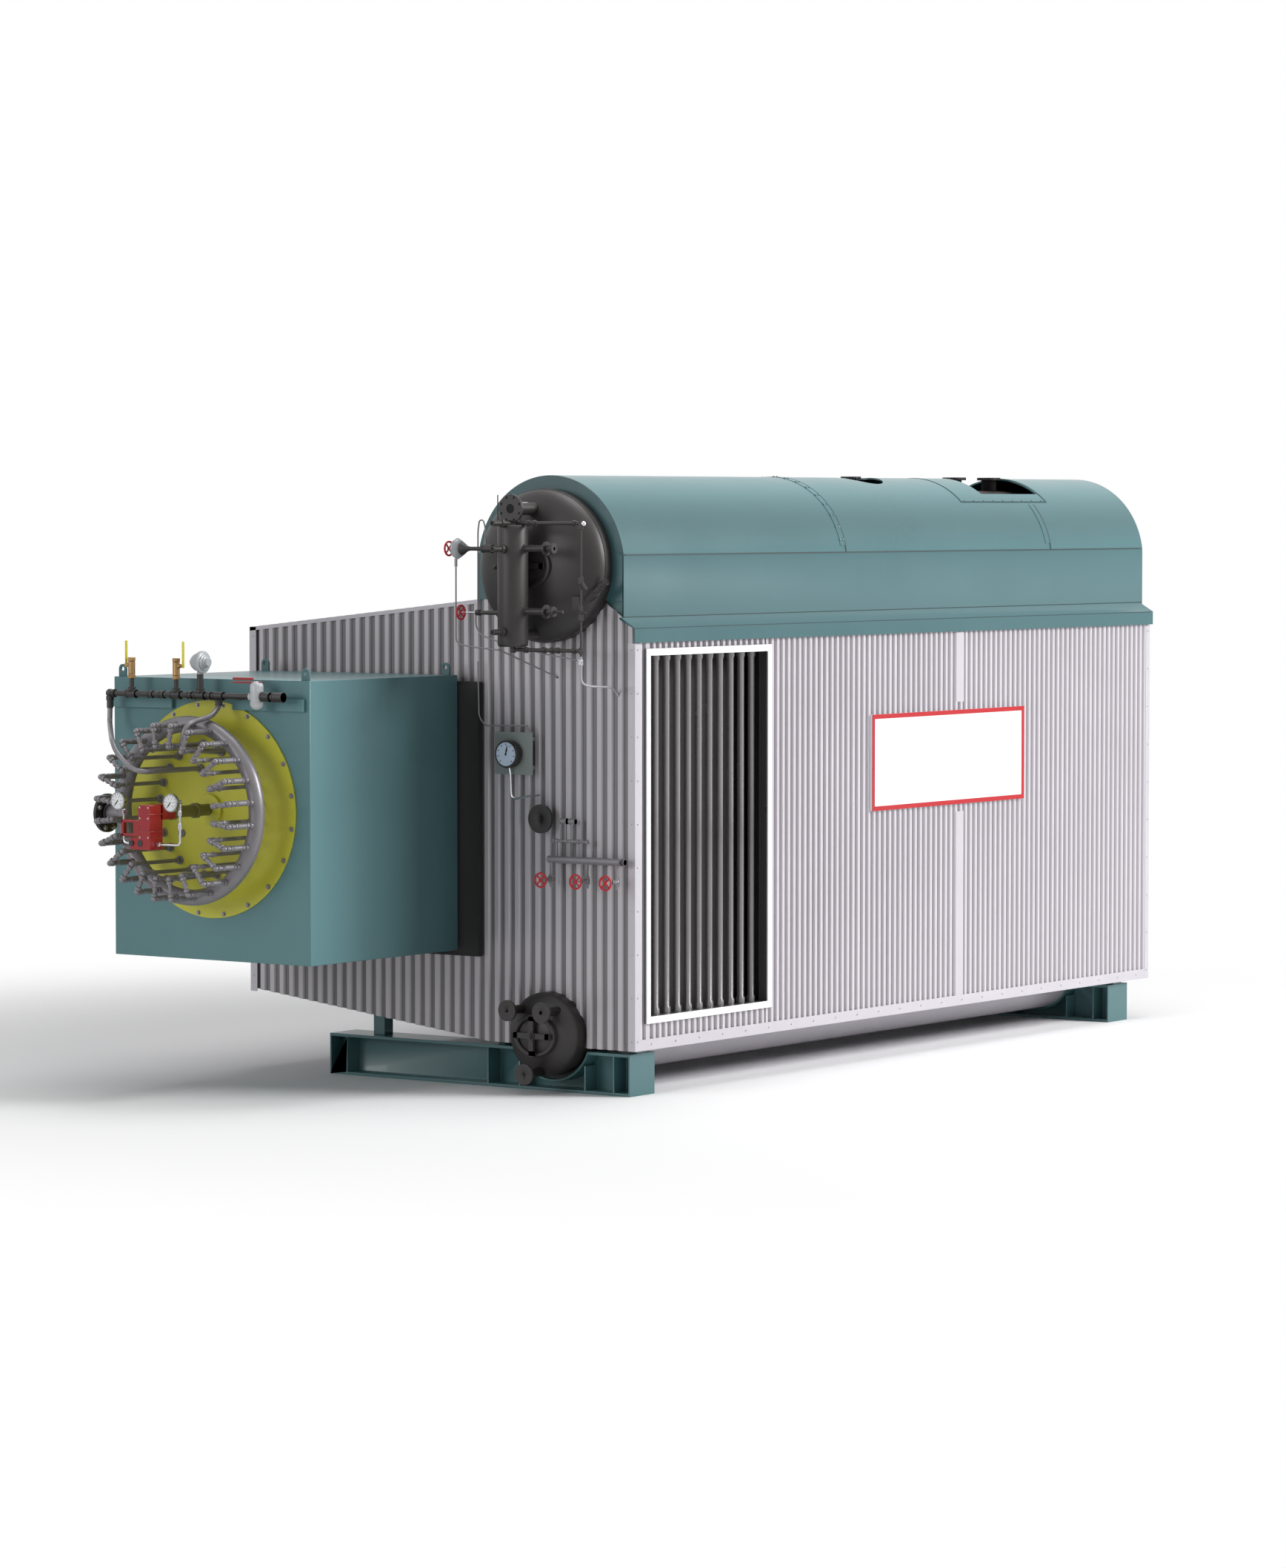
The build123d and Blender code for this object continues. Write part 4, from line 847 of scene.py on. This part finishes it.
housing = piece("actuator_housing", joined(*casting(
    ((-0.050, 0.578, -0.252), (0.050, 0.721, 0.063)), ((-0.058, 0.442, -0.045), (0.050, 0.600, 0.063)),
    ((-0.137, 0.600, -0.252), (-0.045, 0.715, -0.165)), ((-0.209, 0.685, -0.063), (-0.045, 0.721, -0.045)),
    ((-0.209, 0.685, -0.157), (-0.045, 0.721, -0.139)), ((-0.209, 0.685, -0.157), (-0.191, 0.721, -0.045)),
    ((-0.105, 0.685, -0.150), (-0.045, 0.719, -0.050)), ((-0.056, 0.572, -0.132), (0.056, 0.727, -0.120)),
    ((-0.056, 0.572, -0.010), (0.056, 0.727, 0.002)), ((-0.078, 0.600, -0.030), (-0.045, 0.700, 0.045)))),
    red_enamel, node="gun_actuator")
rounded_edges(housing, 0.004)
black_iron = painted("black_iron", (0.020, 0.017, 0.017), roughness=0.4, drift=0.12, scale=4.0, coat=0.05)
bright_steel = painted("bright_steel", (0.62, 0.62, 0.64), roughness=0.22, metallic=1.0, drift=0.02)
port_rims = [bar(at_burner(x, 0.721, -0.208), at_burner(x, 0.7245, -0.208), r, 0.001, 24)
             for x, r in ((-0.120, 0.020), (-0.038, 0.024))]
piece("actuator_port_rims", joined(*port_rims), black_iron)
cover_screw = aimed(turned([(0, 0), (0.007, 0), (0.007, 0.004), (0.005, 0.006), (0, 0.006)], 12), (0, 0, 0),
                    forward)
screw_x, screw_z = np.meshgrid((-0.038, 0.038), (-0.165, -0.030, 0.045), indexing="ij")
piece("actuator_screws", repeated(cover_screw, at_burner(0, 0.721, 0) + np.stack(
    [screw_x.ravel(), 0 * screw_x.ravel(), screw_z.ravel()], -1)), bright_steel)


# Dial gauges: three pressure and temperature gauges with a turned case and a printed dial under a
# rim. Ticks and numbers are generic. Two stand beside the actuator, and one hangs on the gauge panel.
print_thick, sweep = 0.0004, 270.0


def dial(name, at, radius, thick, case, face_paint, marks=11, numbers=True, lean=232.0):
    """A gauge that faces forwards: its turned case, a face with ticks at even angles, numbers, and a
    pointer, each a flat shape just in front of the one below."""
    back = np.asarray(at, float) + (0, thick, 0)
    rim = turned([(0, 0), (0.97 * radius, 0), (radius, 0.1 * thick), (radius, 0.9 * thick),
                  (0.95 * radius, thick), (0.88 * radius, thick), (0.86 * radius, thick - 0.004),
                  (0, thick - 0.004)], 56)
    piece(name + "_case", aimed(rim, back, forward), case)
    face = np.asarray(at, float) + (0, 0.0036, 0)
    piece(name + "_face", aimed(disc(0.86 * radius, print_thick, 56), face, forward), face_paint)

    def pointing(half, stretch, middle, lift, angles):
        """Flat diamonds just in front of the face: each is square at first, is stretched and moved out
        along x, then turned to its angle round the dial's middle."""
        points, faces = disc(half, print_thick, 4)
        points = points * (stretch, 1.0, 1.0) + (middle, 0, 0)
        cos, sin = np.cos(angles)[:, None], np.sin(angles)[:, None]
        x = cos * points[:, 0] - sin * points[:, 1]
        z = sin * points[:, 0] + cos * points[:, 1]
        y = np.broadcast_to(-lift - points[:, 2], x.shape)
        quads = faces[None] + (np.arange(len(angles)) * len(points))[:, None, None]
        return (face + np.stack([x, y, z], -1)).reshape(-1, 3), quads.reshape(-1, 4)

    angle = np.radians(90 + sweep / 2 - sweep * np.arange(marks) / (marks - 1))
    hub = bar(face - (0, 0.0010, 0), face - (0, 0.0026, 0), 0.09 * radius, print_thick, 20)
    piece(name + "_scale", joined(
        pointing(0.042 * radius, 2.4, 0.72 * radius, 0.0006, angle),
        pointing(0.080 * radius, 6.0, 0.28 * radius, 0.0012, np.radians([lean])), hub), black_print)
    if numbers:
        digits(name + "_numbers", face - (0, 0.0008, 0), 0.50 * radius, 0.24 * radius, angle[::2])


def digits(name, centre, circle, size, angles):
    """Numbers 0, 2, 4 and so on round a dial, as one mesh of filled letter outlines that stand upright
    and face forwards."""
    points, faces = [], []
    for i, angle in enumerate(angles):
        text = bpy.data.curves.new(name, "FONT")
        text.body, text.size, text.align_x, text.align_y = str(2 * i), size, "CENTER", "CENTER"
        holder = bpy.data.objects.new(name, text)
        bpy.context.scene.collection.objects.link(holder)
        bpy.context.view_layer.update()
        flat = bpy.data.meshes.new_from_object(holder)
        at = np.zeros(3 * len(flat.vertices))
        flat.vertices.foreach_get("co", at)
        at = at.reshape(-1, 3)
        start = sum(len(p) for p in points)
        points.append(np.stack([centre[0] + circle * math.cos(angle) + at[:, 0], np.full(len(at), centre[1]),
                                centre[2] + circle * math.sin(angle) + at[:, 1]], -1))
        faces += [[start + v for v in polygon.vertices] for polygon in flat.polygons]
        bpy.data.objects.remove(holder)
        bpy.data.curves.remove(text)
        bpy.data.meshes.remove(flat)
    mesh = bpy.data.meshes.new(name)
    mesh.from_pydata(np.concatenate(points).tolist(), [], faces)
    mesh.materials.append(black_print)
    made = bpy.data.objects.new(name, mesh)
    bpy.context.scene.collection.objects.link(made)
    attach(made, "boiler")


black_print = painted("black_print", (0.01, 0.01, 0.012), roughness=0.5, bump=0.0)
gauge_rim = painted("gauge_rim", (0.40, 0.40, 0.42), roughness=0.22, metallic=1.0, drift=0.0, bump=0.0)
dial_white = painted("dial_white", (0.84, 0.85, 0.86), roughness=0.35, drift=0.0, bump=0.0, coat=0.6)
dial_blue = painted("dial_blue", (0.50, 0.60, 0.74), roughness=0.35, drift=0.0, bump=0.0, coat=0.6)
dial("gauge_left", at_burner(-0.248, 0.721, 0.084), 0.064, 0.034, gauge_rim, dial_white)
dial("gauge_right", at_burner(0.268, 0.758, 0.087), 0.064, 0.034, gauge_rim, dial_white)
dial("panel_dial", spot(-1.040, -0.153, 2.437), 0.100, 0.075, black_iron, dial_blue, marks=9, numbers=False,
     lean=78.0)
gauge_fit, stem_out, port_z = [], 0.6495, -0.213
for x, z, foot in ((-0.248, 0.084, -0.137), (0.268, 0.087, 0.050)):
    front = 0.721 if x < 0 else 0.758
    gauge_fit += [bar(at_burner(x, 0.640, z), at_burner(x, front - 0.030, z), 0.016, 0.002, 16),
                  bar(at_burner(x, stem_out, z - 0.055), at_burner(x, stem_out, z), 0.011, 0, 14),
                  tube(rounded([at_burner(x, stem_out, z - 0.05), at_burner(x, stem_out, port_z),
                                at_burner(foot, stem_out, port_z)], 0.03), 0.009),
                  bar(at_burner(x, stem_out, z - 0.095), at_burner(x, stem_out, z - 0.060), 0.015, 0.002, 6),
                  bar(at_burner(x, stem_out, -0.105), at_burner(x, stem_out, -0.060), 0.017, 0.003, 16),
                  bar(at_burner(foot + math.copysign(0.040, x), stem_out, port_z),
                      at_burner(foot + math.copysign(0.002, x), stem_out, port_z), 0.016, 0.002, 6)]
panel_siphon = tube(rounded([spot(x, -0.110, z) for x, z in (
    (-1.040, 2.345), (-1.029, 2.300), (-1.021, 2.108), (-0.860, 2.137))], 0.06), 0.009)
piece("gauge_pipes", joined(*gauge_fit, panel_siphon), bright_steel, node="gauges")
panel_grey = painted("grey_casting", (0.22, 0.25, 0.24), roughness=0.4, drift=0.06, metallic=0.2)
merged_copy("gauge_panel", "gauge_panel_plate", panel_grey, soften=0.001)


# Pilot gas header: black iron pipe with banded tees and unions across the windbox's top, on two
# brackets. It carries two brass ball valves with yellow sleeved levers, a grey cast pressure switch
# and a white safety cock with a red lever. Two grey pipes bend down from it to the pilots.
band_proud = 0.003


def banded(start, end, radius, band=0.010):
    """A threaded fitting: a round body between two places with a raised band at each end."""
    start, end = np.asarray(start, float), np.asarray(end, float)
    way = (end - start) / np.linalg.norm(end - start)
    return joined(bar(start, end, radius - band_proud), bar(start, start + way * band, radius, 0.0015),
                  bar(end - way * band, end, radius, 0.0015))


header_y, header_z = -1.930, 2.885


def on_header(x, z=header_z):
    """A place in the header's upright plane, on its axis unless a height is given."""
    return spot(x, header_y, z)


valve_xs = (-3.048, -2.630)
switch_x, tee_x, cock_x = -2.408, -2.236, -1.889
run = [bar(on_header(-3.254), on_header(-1.66), 0.0215, 0.0, 20)]
for x in (*valve_xs, switch_x, tee_x):
    run.append(banded(on_header(x - 0.045), on_header(x + 0.045), 0.032))
for x in (-2.865, -2.760, -2.500, -2.325):
    run.append(banded(on_header(x - 0.022), on_header(x + 0.022), 0.029, 0.008))
for x in valve_xs:
    run += [banded(on_header(x, header_z + 0.020), on_header(x, header_z + 0.048), 0.029, 0.008),
            bar(on_header(x), on_header(x, header_z + 0.110), 0.017, 0.0, 16)]
run += [ball(on_header(-3.254), 0.031), bar(on_header(-3.254, 2.778), on_header(-3.254), 0.024),
        banded(on_header(-3.254, 2.835), on_header(-3.254, 2.862), 0.030),
        banded(on_header(-3.222), on_header(-3.200), 0.030),
        banded(on_header(tee_x, 2.815), on_header(tee_x, 2.850), 0.028),
        bar(on_header(switch_x), on_header(switch_x, header_z + 0.150), 0.024),
        banded(on_header(switch_x, header_z + 0.020), on_header(switch_x, header_z + 0.050), 0.031),
        banded(on_header(-1.840), on_header(-1.765), 0.035),
        banded(on_header(-1.738), on_header(-1.646), 0.037)]
for x in (-2.820, -2.050):
    run.append(bar(spot(x, -1.786, header_z - 0.018), on_header(x, header_z - 0.018), 0.008, 0.0, 12))
piece("pilot_header_pipe", joined(*run), black_iron, node="pilot_header")

cast_brass = painted("cast_brass", (0.36, 0.22, 0.095), roughness=0.36, metallic=0.75, drift=0.14, scale=6.0)
bodies = []
for x, side in zip(valve_xs, (-1, 1)):
    bodies += [bar(on_header(x + side * a, low), on_header(x + side * b, high), *size)
               for a, low, b, high, *size in (
        (0, 2.995, 0, 3.022, 0.029, 0.002, 6), (0, 3.022, 0, 3.118, 0.0255, 0.004, 24),
        (0, 3.118, 0, 3.145, 0.029, 0.002, 6), (0, 3.090, 0.044, 3.090, 0.015, 0.001, 20),
        (0.044, 3.090, 0.062, 3.090, 0.0135, 0.001, 6))]
piece("pilot_valve_bodies", joined(*bodies), cast_brass, node="pilot_valves")
yellow_vinyl = painted("yellow_vinyl", (0.70, 0.62, 0.030), roughness=0.32, drift=0.03, coat=0.3)
for name in ("valve_lever_left", "valve_lever_right"):
    merged_copy(name, name + "_sleeve", yellow_vinyl, name, soften=0.003)
merged_copy("cock_lever", "cock_lever_bar", red_enamel, "cock_lever", soften=0.003)

grip_half = 0.013
grip = piece("cock_lever_grip", brick(spot(-2.100, header_y - grip_half, 3.002),
                                      spot(-1.925, header_y + grip_half, 3.020)),
             red_enamel, body="cock_lever")
rounded_edges(grip, 0.004)

switch_at = on_header(switch_x, 3.121)
switch_profile = [
    (0, -0.072), (0.030, -0.072), (0.034, -0.066), (0.050, -0.050), (0.062, -0.030), (0.062, 0.002),
    (0.076, 0.008), (0.080, 0.012), (0.080, 0.030), (0.074, 0.036), (0.058, 0.040), (0.056, 0.050),
    (0.046, 0.053), (0.042, 0.063), (0.034, 0.066), (0.032, 0.079), (0.028, 0.083), (0, 0.083)]
grey_body = painted("cast_grey_body", (0.40, 0.42, 0.44), roughness=0.35, drift=0.06, coat=0.1)
switch_bolts = [(0.068 * math.cos(a), 0.068 * math.sin(a)) for a in np.radians(np.arange(22.5, 360, 45))]
piece("pressure_switch_body", joined(
    aimed(turned(switch_profile, 48), switch_at, (1, 0, 0)),
    bar(on_header(switch_x, 3.035), on_header(switch_x, 3.075), 0.022, 0.002, 20),
    on_circle(hexagon(0.008, 0.010), switch_at + (0.008, 0, 0), (1, 0, 0), 0.070, 8, 22.5),
    *[bar(switch_at + (0.012, y, z), switch_at + (0.032, y, z), 0.0115, 0.002, 12)
      for y, z in switch_bolts]), grey_body, node="pressure_switch")
rise = np.linspace(0, math.pi / 2, 9)
capsule = np.concatenate([
    np.stack([0.0475 * np.sin(rise), 2.834 - 0.040 * np.cos(rise)], -1),
    [(0.048, 2.850), (0.0455, 2.853), (0.0455, 2.918), (0.048, 2.921)],
    np.stack([0.0475 * np.cos(rise), 2.960 + 0.035 * np.sin(rise)], -1)])
cock_white = painted("cock_white", (0.52, 0.54, 0.56), roughness=0.3, drift=0.04, coat=0.3)
piece("safety_cock_body", joined(
    aimed(turned(capsule, 40), on_header(cock_x, 0)),
    banded(on_header(-1.950), on_header(-1.850), 0.029, 0.012)), cock_white,
    node="safety_cock")

routes = (
    ((-0.830, 0.128, 0.713), (-0.830, 0.133, 0.608), (-0.647, 0.328, 0.532), (-0.436, 0.558, 0.500),
     (-0.346, 0.618, 0.422), (-0.221, 0.628, 0.325), (-0.136, 0.648, 0.300), (-0.086, 0.618, 0.290),
     (-0.086, 0.0, 0.290)),
    ((0.188, 0.128, 0.745), (0.196, 0.148, 0.731), (0.218, 0.238, 0.678), (0.174, 0.314, 0.652),
     (0.168, 0.436, 0.628), (0.154, 0.475, 0.568), (0.118, 0.445, 0.446), (0.109, 0.0, 0.410)))
piece("pilot_gas_pipes", joined(*[
    tube(rounded([at_burner(*point) for point in route], 0.12, 7), 0.0185, 20) for route in routes],
    *[bar(at_burner(x, 0.0, z), at_burner(x, 0.030, z), 0.030, 0.003, 24)
      for x, z in ((-0.086, 0.290), (0.109, 0.410))]),
    grey_pipe)


# Water column fittings: screwed pipes to the right and left of the column, each with unions or a
# gland; a grey level controller at the left end of the upper one; and the gauge glass on the right.
column_x, column_y = -0.748, -0.450


def beside(x, z):
    """A place in the plane of the water column."""
    return spot(x, column_y, z)


def across(z, x0, x1, *size):
    """A bar that runs sideways in the plane of the water column, with its radius, edge and sides."""
    return bar(beside(x0, z), beside(x1, z), *size)


# Painted shade: flat black discs on the steam flange and the probe ends stand for the bore and the bolt holes,
# which are not cut.
painted_hole_shade = painted("painted_hole_shade", (0.002, 0.002, 0.002), roughness=0.9, bump=0.0)
steam_branch_z = 4.206
flange_at = spot(column_x, -0.481, steam_branch_z)
drum_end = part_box("steam_drum")[0].y - corner[1]
probes = []
probe_heights = (4.103, 3.921, 3.330)
for z in probe_heights:
    probes += [bar(beside(column_x, z), spot(column_x, -0.695, z), 0.021, 0.001, 20),
               bar(spot(column_x, -0.600, z), spot(column_x, -0.570, z), 0.030, 0.003, 8)]
piece("water_column_body", joined(
    aimed(turned([(0, 0), (0.098, 0.002), (0.107, 0.010), (0.110, 0.022), (0.110, 0.849), (0.107, 0.861),
                  (0.098, 0.869), (0, 0.871)], 56), beside(column_x, 3.222)),
    bar(flange_at, flange_at + (0, 0.022, 0), 0.103, 0.0015, 48),
    bar(flange_at + (0, 0.022, 0), flange_at + (0, 0.060, 0), 0.062, 0.012, 28),
    bar(flange_at + (0, 0.020, 0), spot(column_x, drum_end, steam_branch_z), 0.046, 0, 28),
    bar(beside(column_x, 4.080), spot(column_x, -0.405, 4.180), 0.044, 0, 28),
    bar(beside(column_x, 3.312), spot(column_x, drum_end, 3.312), 0.030, 0, 20), *probes),
    drum_primer, node="water_column")
piece("water_column_hole_shade", joined(
    bar(flange_at, flange_at - (0, 0.0004, 0), 0.034, 0, 32),
    on_circle(disc(0.0095, 0.0004, 18), flange_at, forward, 0.0855, 8, 22.5),
    *[bar(spot(column_x, -0.695, z), spot(column_x, -0.6954, z), 0.013, 0, 20) for z in probe_heights]),
    painted_hole_shade)
arms = []
for z, end in ((3.923, -0.380), (3.476, -0.305)):
    arms += [across(z, -0.650, -0.385, 0.024, 0, 20), across(z, -0.660, -0.632, 0.033, 0.002, 20),
             across(z, -0.461, -0.443, 0.050, 0.002, 28), across(z, -0.410, -0.380, 0.040, 0.003, 8),
             across(z, -0.385, end, 0.012, 0, 14)]
for z, end in ((3.920, -1.206), (3.463, -1.040)):
    arms += [across(z, -0.840, end, 0.015, 0, 18), across(z, -0.880, -0.850, 0.026, 0.002, 8)]
arms += [banded(beside(-0.928, 3.920), beside(-1.016, 3.920), 0.030),
         aimed(turned([(0, 0), (0.016, 0), (0.020, 0.020), (0.046, 0.060), (0.046, 0.072), (0, 0.072)], 28),
               beside(-1.134, 3.920), (-1, 0, 0)),
         across(3.463, -1.040, -1.075, 0.024, 0.002, 6),
         ball(spot(-1.033, -0.285, 3.786), 0.018),
         bar(spot(-1.033, -0.285, 3.786), spot(-0.960, -0.270, 3.786), 0.008, 0, 10),
         bar(beside(-0.882, 4.120), beside(-0.882, 4.304), 0.004, 0, 8)]
sample = [spot(column_x + x, drum_end + y, 3.797 + z) for x, y, z in
          ((0.473, -0.068, -0.207), (0.603, -0.070, -0.107))]
sample_run = sample[1] - sample[0]
arms += [bar(*sample, 0.0225, 0.002, 24), banded(sample[0] + 0.60 * sample_run, sample[1], 0.029),
         bar(sample[0] - 0.30 * sample_run, sample[0] + 0.25 * sample_run, 0.036, 0.004, 6),
         brick(spot(-0.400, drum_end - 0.135, 3.480), spot(-0.335, drum_end - 0.080, 3.580))]
piece("column_arms", joined(*arms), drum_primer, node="column_branches")
controller = [(0, 0), (0.040, 0), (0.062, 0.012), (0.076, 0.030), (0.076, 0.044), (0.058, 0.064),
              (0.034, 0.078), (0.024, 0.084), (0.022, 0.094), (0, 0.094)]
piece("level_controller", joined(
    aimed(turned(controller, 8), beside(-1.206, 3.920), (-1, 0, 0)),
    bar(beside(-1.259, 3.790), beside(-1.259, 3.850), 0.012, 0.002, 6)), grey_body)
glass_x = -0.147
glass = []
for z, joints in ((4.103, (-0.610, -0.555, -0.205)), (3.202, (-0.630, -0.470, -0.400, -0.350, -0.205))):
    glass.append(across(z, -0.700 if z > 4 else -0.748, glass_x, 0.0135, 0, 16))
    glass += [across(z, x - 0.016, x + 0.016, 0.022, 0.003, 8) for x in joints]
glass += [bar(beside(glass_x, 3.160), beside(glass_x, 4.130), 0.0085, 0.001, 16),
          bar(beside(-0.748, 3.180), beside(-0.748, 3.224), 0.021, 0.002, 18),
          *[bar(beside(glass_x, low), beside(glass_x, high), 0.020, 0.003, 6)
            for low, high in ((4.060, 4.120), (3.675, 3.725), (3.415, 3.465), (3.180, 3.225))],
          bar(beside(-0.147, 3.694), beside(-0.100, 3.634), 0.013, 0.002, 12),
          across(3.471, -0.180, -0.100, 0.006, 0.001, 10)]
piece("gauge_glass", joined(*glass), drum_primer, node="level_gauge")
cap_rod = bar(spot(-0.730, -0.400, 4.247), spot(-0.730, -0.300, 4.247), 0.006, 0.001, 12)
piece("gauge_glass_cap", joined(ball(beside(-0.125, 4.100), 0.019), cap_rod), bright_steel)


# Handwheels: small cast iron wheels in red paint, a rim on four spokes, each turning on its spindle.
# Three shut the drains on the front wall, and two the left arms of the water column.
def wheel(node, at, along, back):
    """A handwheel on its own body: a ring of round section, two crossed spokes, a hub and a spindle."""
    at = np.asarray(at, float)
    spokes = []
    for turn in (0.5, 1.5):
        tip = np.array([math.cos(turn * math.pi / 2), math.sin(turn * math.pi / 2), 0]) * 0.047
        spokes.append(bar(-tip, tip, 0.0062, 0, 10))
    shape = joined(hoop(0.0495, 0.0074, 44, 10), *spokes, bar((0, 0, -0.006), (0, 0, 0.007), 0.013, 0.002, 16),
                   bar((0, 0, 0.007), (0, 0, 0.012), 0.006, 0.001, 6))
    piece(node + "_rim", aimed(shape, at, along), wheel_red, body=node, node=node)
    way = np.asarray(along, float)
    piece(node + "_spindle", bar(at - way * 0.006, at - way * back, 0.0058, 0.001, 14), bright_steel, body=node)


wheel_red = painted("wheel_red", (0.46, 0.010, 0.020), roughness=0.5, drift=0.04, coat=0.05)
for name, x in (("left", -0.683), ("middle", -0.373), ("right", -0.110)):
    wheel("drain_wheel_" + name, spot(x, -0.210, 1.545), (0, -1, 0), 0.074)
wheel("column_wheel_upper", beside(-1.322, 3.920), (-1, 0, 0), 0.016)
wheel("column_wheel_lower", beside(-1.215, 3.463), (-1, 0, 0), 0.134)


# Drains on the front wall: a grey pipe manifold on two stays with a valve under each of three tees,
# and a bright vent line with small cocks above it.
def on_wall(x, z, y=-0.075):
    """A place in the plane of the drain manifold."""
    return spot(x, y, z)


drain_z, vent_z, cock_z, wheel_z = 1.688, 1.823, 1.965, 1.545
drains = [bar(on_wall(-0.713, drain_z), on_wall(-0.033, drain_z), 0.0255, 0.001, 24),
          *[bar(on_wall(x - 0.009, drain_z), on_wall(x + 0.009, drain_z), 0.0268, 0.002, 24)
            for x in (-0.600, -0.330)],
          *[bar(on_wall(x, drain_z), on_wall(x, drain_z, 0.0), 0.012, 0, 12) for x in (-0.640, -0.160)]]
for x in (-0.683, -0.373, -0.110):
    drains += [bar(on_wall(x, 1.490), on_wall(x, drain_z), 0.0145, 0.001, 18),
               bar(on_wall(x, 1.515), on_wall(x, 1.530), 0.026, 0.002, 6),
               bar(on_wall(x, 1.560), on_wall(x, 1.575), 0.026, 0.002, 6), ball(on_wall(x, wheel_z), 0.025),
               bar(on_wall(x, wheel_z), on_wall(x, wheel_z, -0.115), 0.019, 0.002, 18),
               bar(on_wall(x, wheel_z, -0.115), on_wall(x, wheel_z, -0.130), 0.0165, 0.001, 6)]
drains += [bar(on_wall(-0.690, vent_z), on_wall(-0.365, vent_z), 0.011, 0.001, 16),
           *[bar(on_wall(x, drain_z), on_wall(x, vent_z), 0.010, 0, 14) for x in (-0.640, -0.520)],
           *[bar(on_wall(x, vent_z), on_wall(x, cock_z), 0.010, 0, 14) for x in (-0.560, -0.500)],
           *[ball(on_wall(x, vent_z), 0.016) for x in (-0.640, -0.560, -0.520, -0.500, -0.372)],
           banded(on_wall(-0.600, cock_z), on_wall(-0.545, cock_z), 0.024),
           banded(on_wall(-0.525, cock_z), on_wall(-0.470, cock_z), 0.022),
           *[bar(on_wall(x - 0.012, vent_z), on_wall(x + 0.012, vent_z), 0.017, 0.002, 6)
             for x in (-0.670, -0.450, -0.410)]]
piece("drain_pipes", joined(*drains), grey_pipe, node="drain_manifold")
piece("drain_end_valve", joined(
    bar(on_wall(-0.062, drain_z), on_wall(-0.033, drain_z), 0.0268, 0.003, 8),
    bar(on_wall(-0.048, drain_z), on_wall(-0.048, drain_z, -0.112), 0.015, 0.002, 12)),
      black_iron)


# Corner filler: a flat plate in teal enamel that closes the gap between the cover's front end and the
# slope of the front wall behind it.
piece("cover_corner_plate", brick(spot(-0.300, 0.027, 3.400), spot(-0.102, 0.031, 3.640)), teal)


# Small tubing: bent steel tubes between the column, the controller and the wall, and a bright drain
# tube from the gauge glass. Each is one length of 10 to 14 mm tube with rounded bends.
routes = (
    ((-1.259, column_y, 3.800), (-1.260, column_y, 3.257), (-1.222, column_y, 3.232), (-1.119, column_y, 3.217),
     (-0.865, column_y, 3.197), (-0.850, -0.250, 3.130), (-0.759, -0.060, 3.039), (-0.683, -0.020, 2.998),
     (-0.683, 0.0, 2.990)),
    ((-0.990, column_y, 3.945), (-0.996, column_y, 4.082), (-1.015, column_y, 4.127), (-1.047, column_y, 4.122),
     (-1.060, column_y, 4.051), (-1.061, column_y, 3.484)),
    ((-1.081, column_y, 3.463), (-1.081, column_y, 3.362), (-1.030, column_y, 3.301), (-0.865, column_y, 3.253),
     (-0.487, column_y, 3.178), (-0.150, column_y, 3.133)),
    ((-1.359, -0.060, 3.100), (-1.351, -0.060, 2.701), (-1.297, -0.060, 2.634), (-0.897, -0.060, 2.644),
     (-0.889, -0.060, 2.580)),
    ((-0.860, -0.110, 2.137), (-0.850, -0.060, 2.140), (-0.850, 0.0, 2.140)))
piece("steel_tubing", joined(*[tube(rounded([spot(*point) for point in route], 0.035), 0.0055, 10)
                               for route in routes]), grey_pipe)
piece("gauge_drain_tube", tube(rounded([spot(glass_x, y, z) for y, z in (
    (column_y, 3.165), (column_y, 2.975), (-0.355, 2.951), (-0.078, 2.936), (-0.010, 2.883), (0.0, 2.870))],
    0.06), 0.0085, 14), painted("zinc_tube", (0.42, 0.41, 0.43), roughness=0.30, metallic=0.5, drift=0.03))
piece("gauge_drain_union", joined(bar(beside(glass_x, 3.100), beside(glass_x, 3.140), 0.018, 0.003, 6),
                                  across(3.133, -0.170, -0.150, 0.011, 0.002, 6)), bright_steel)
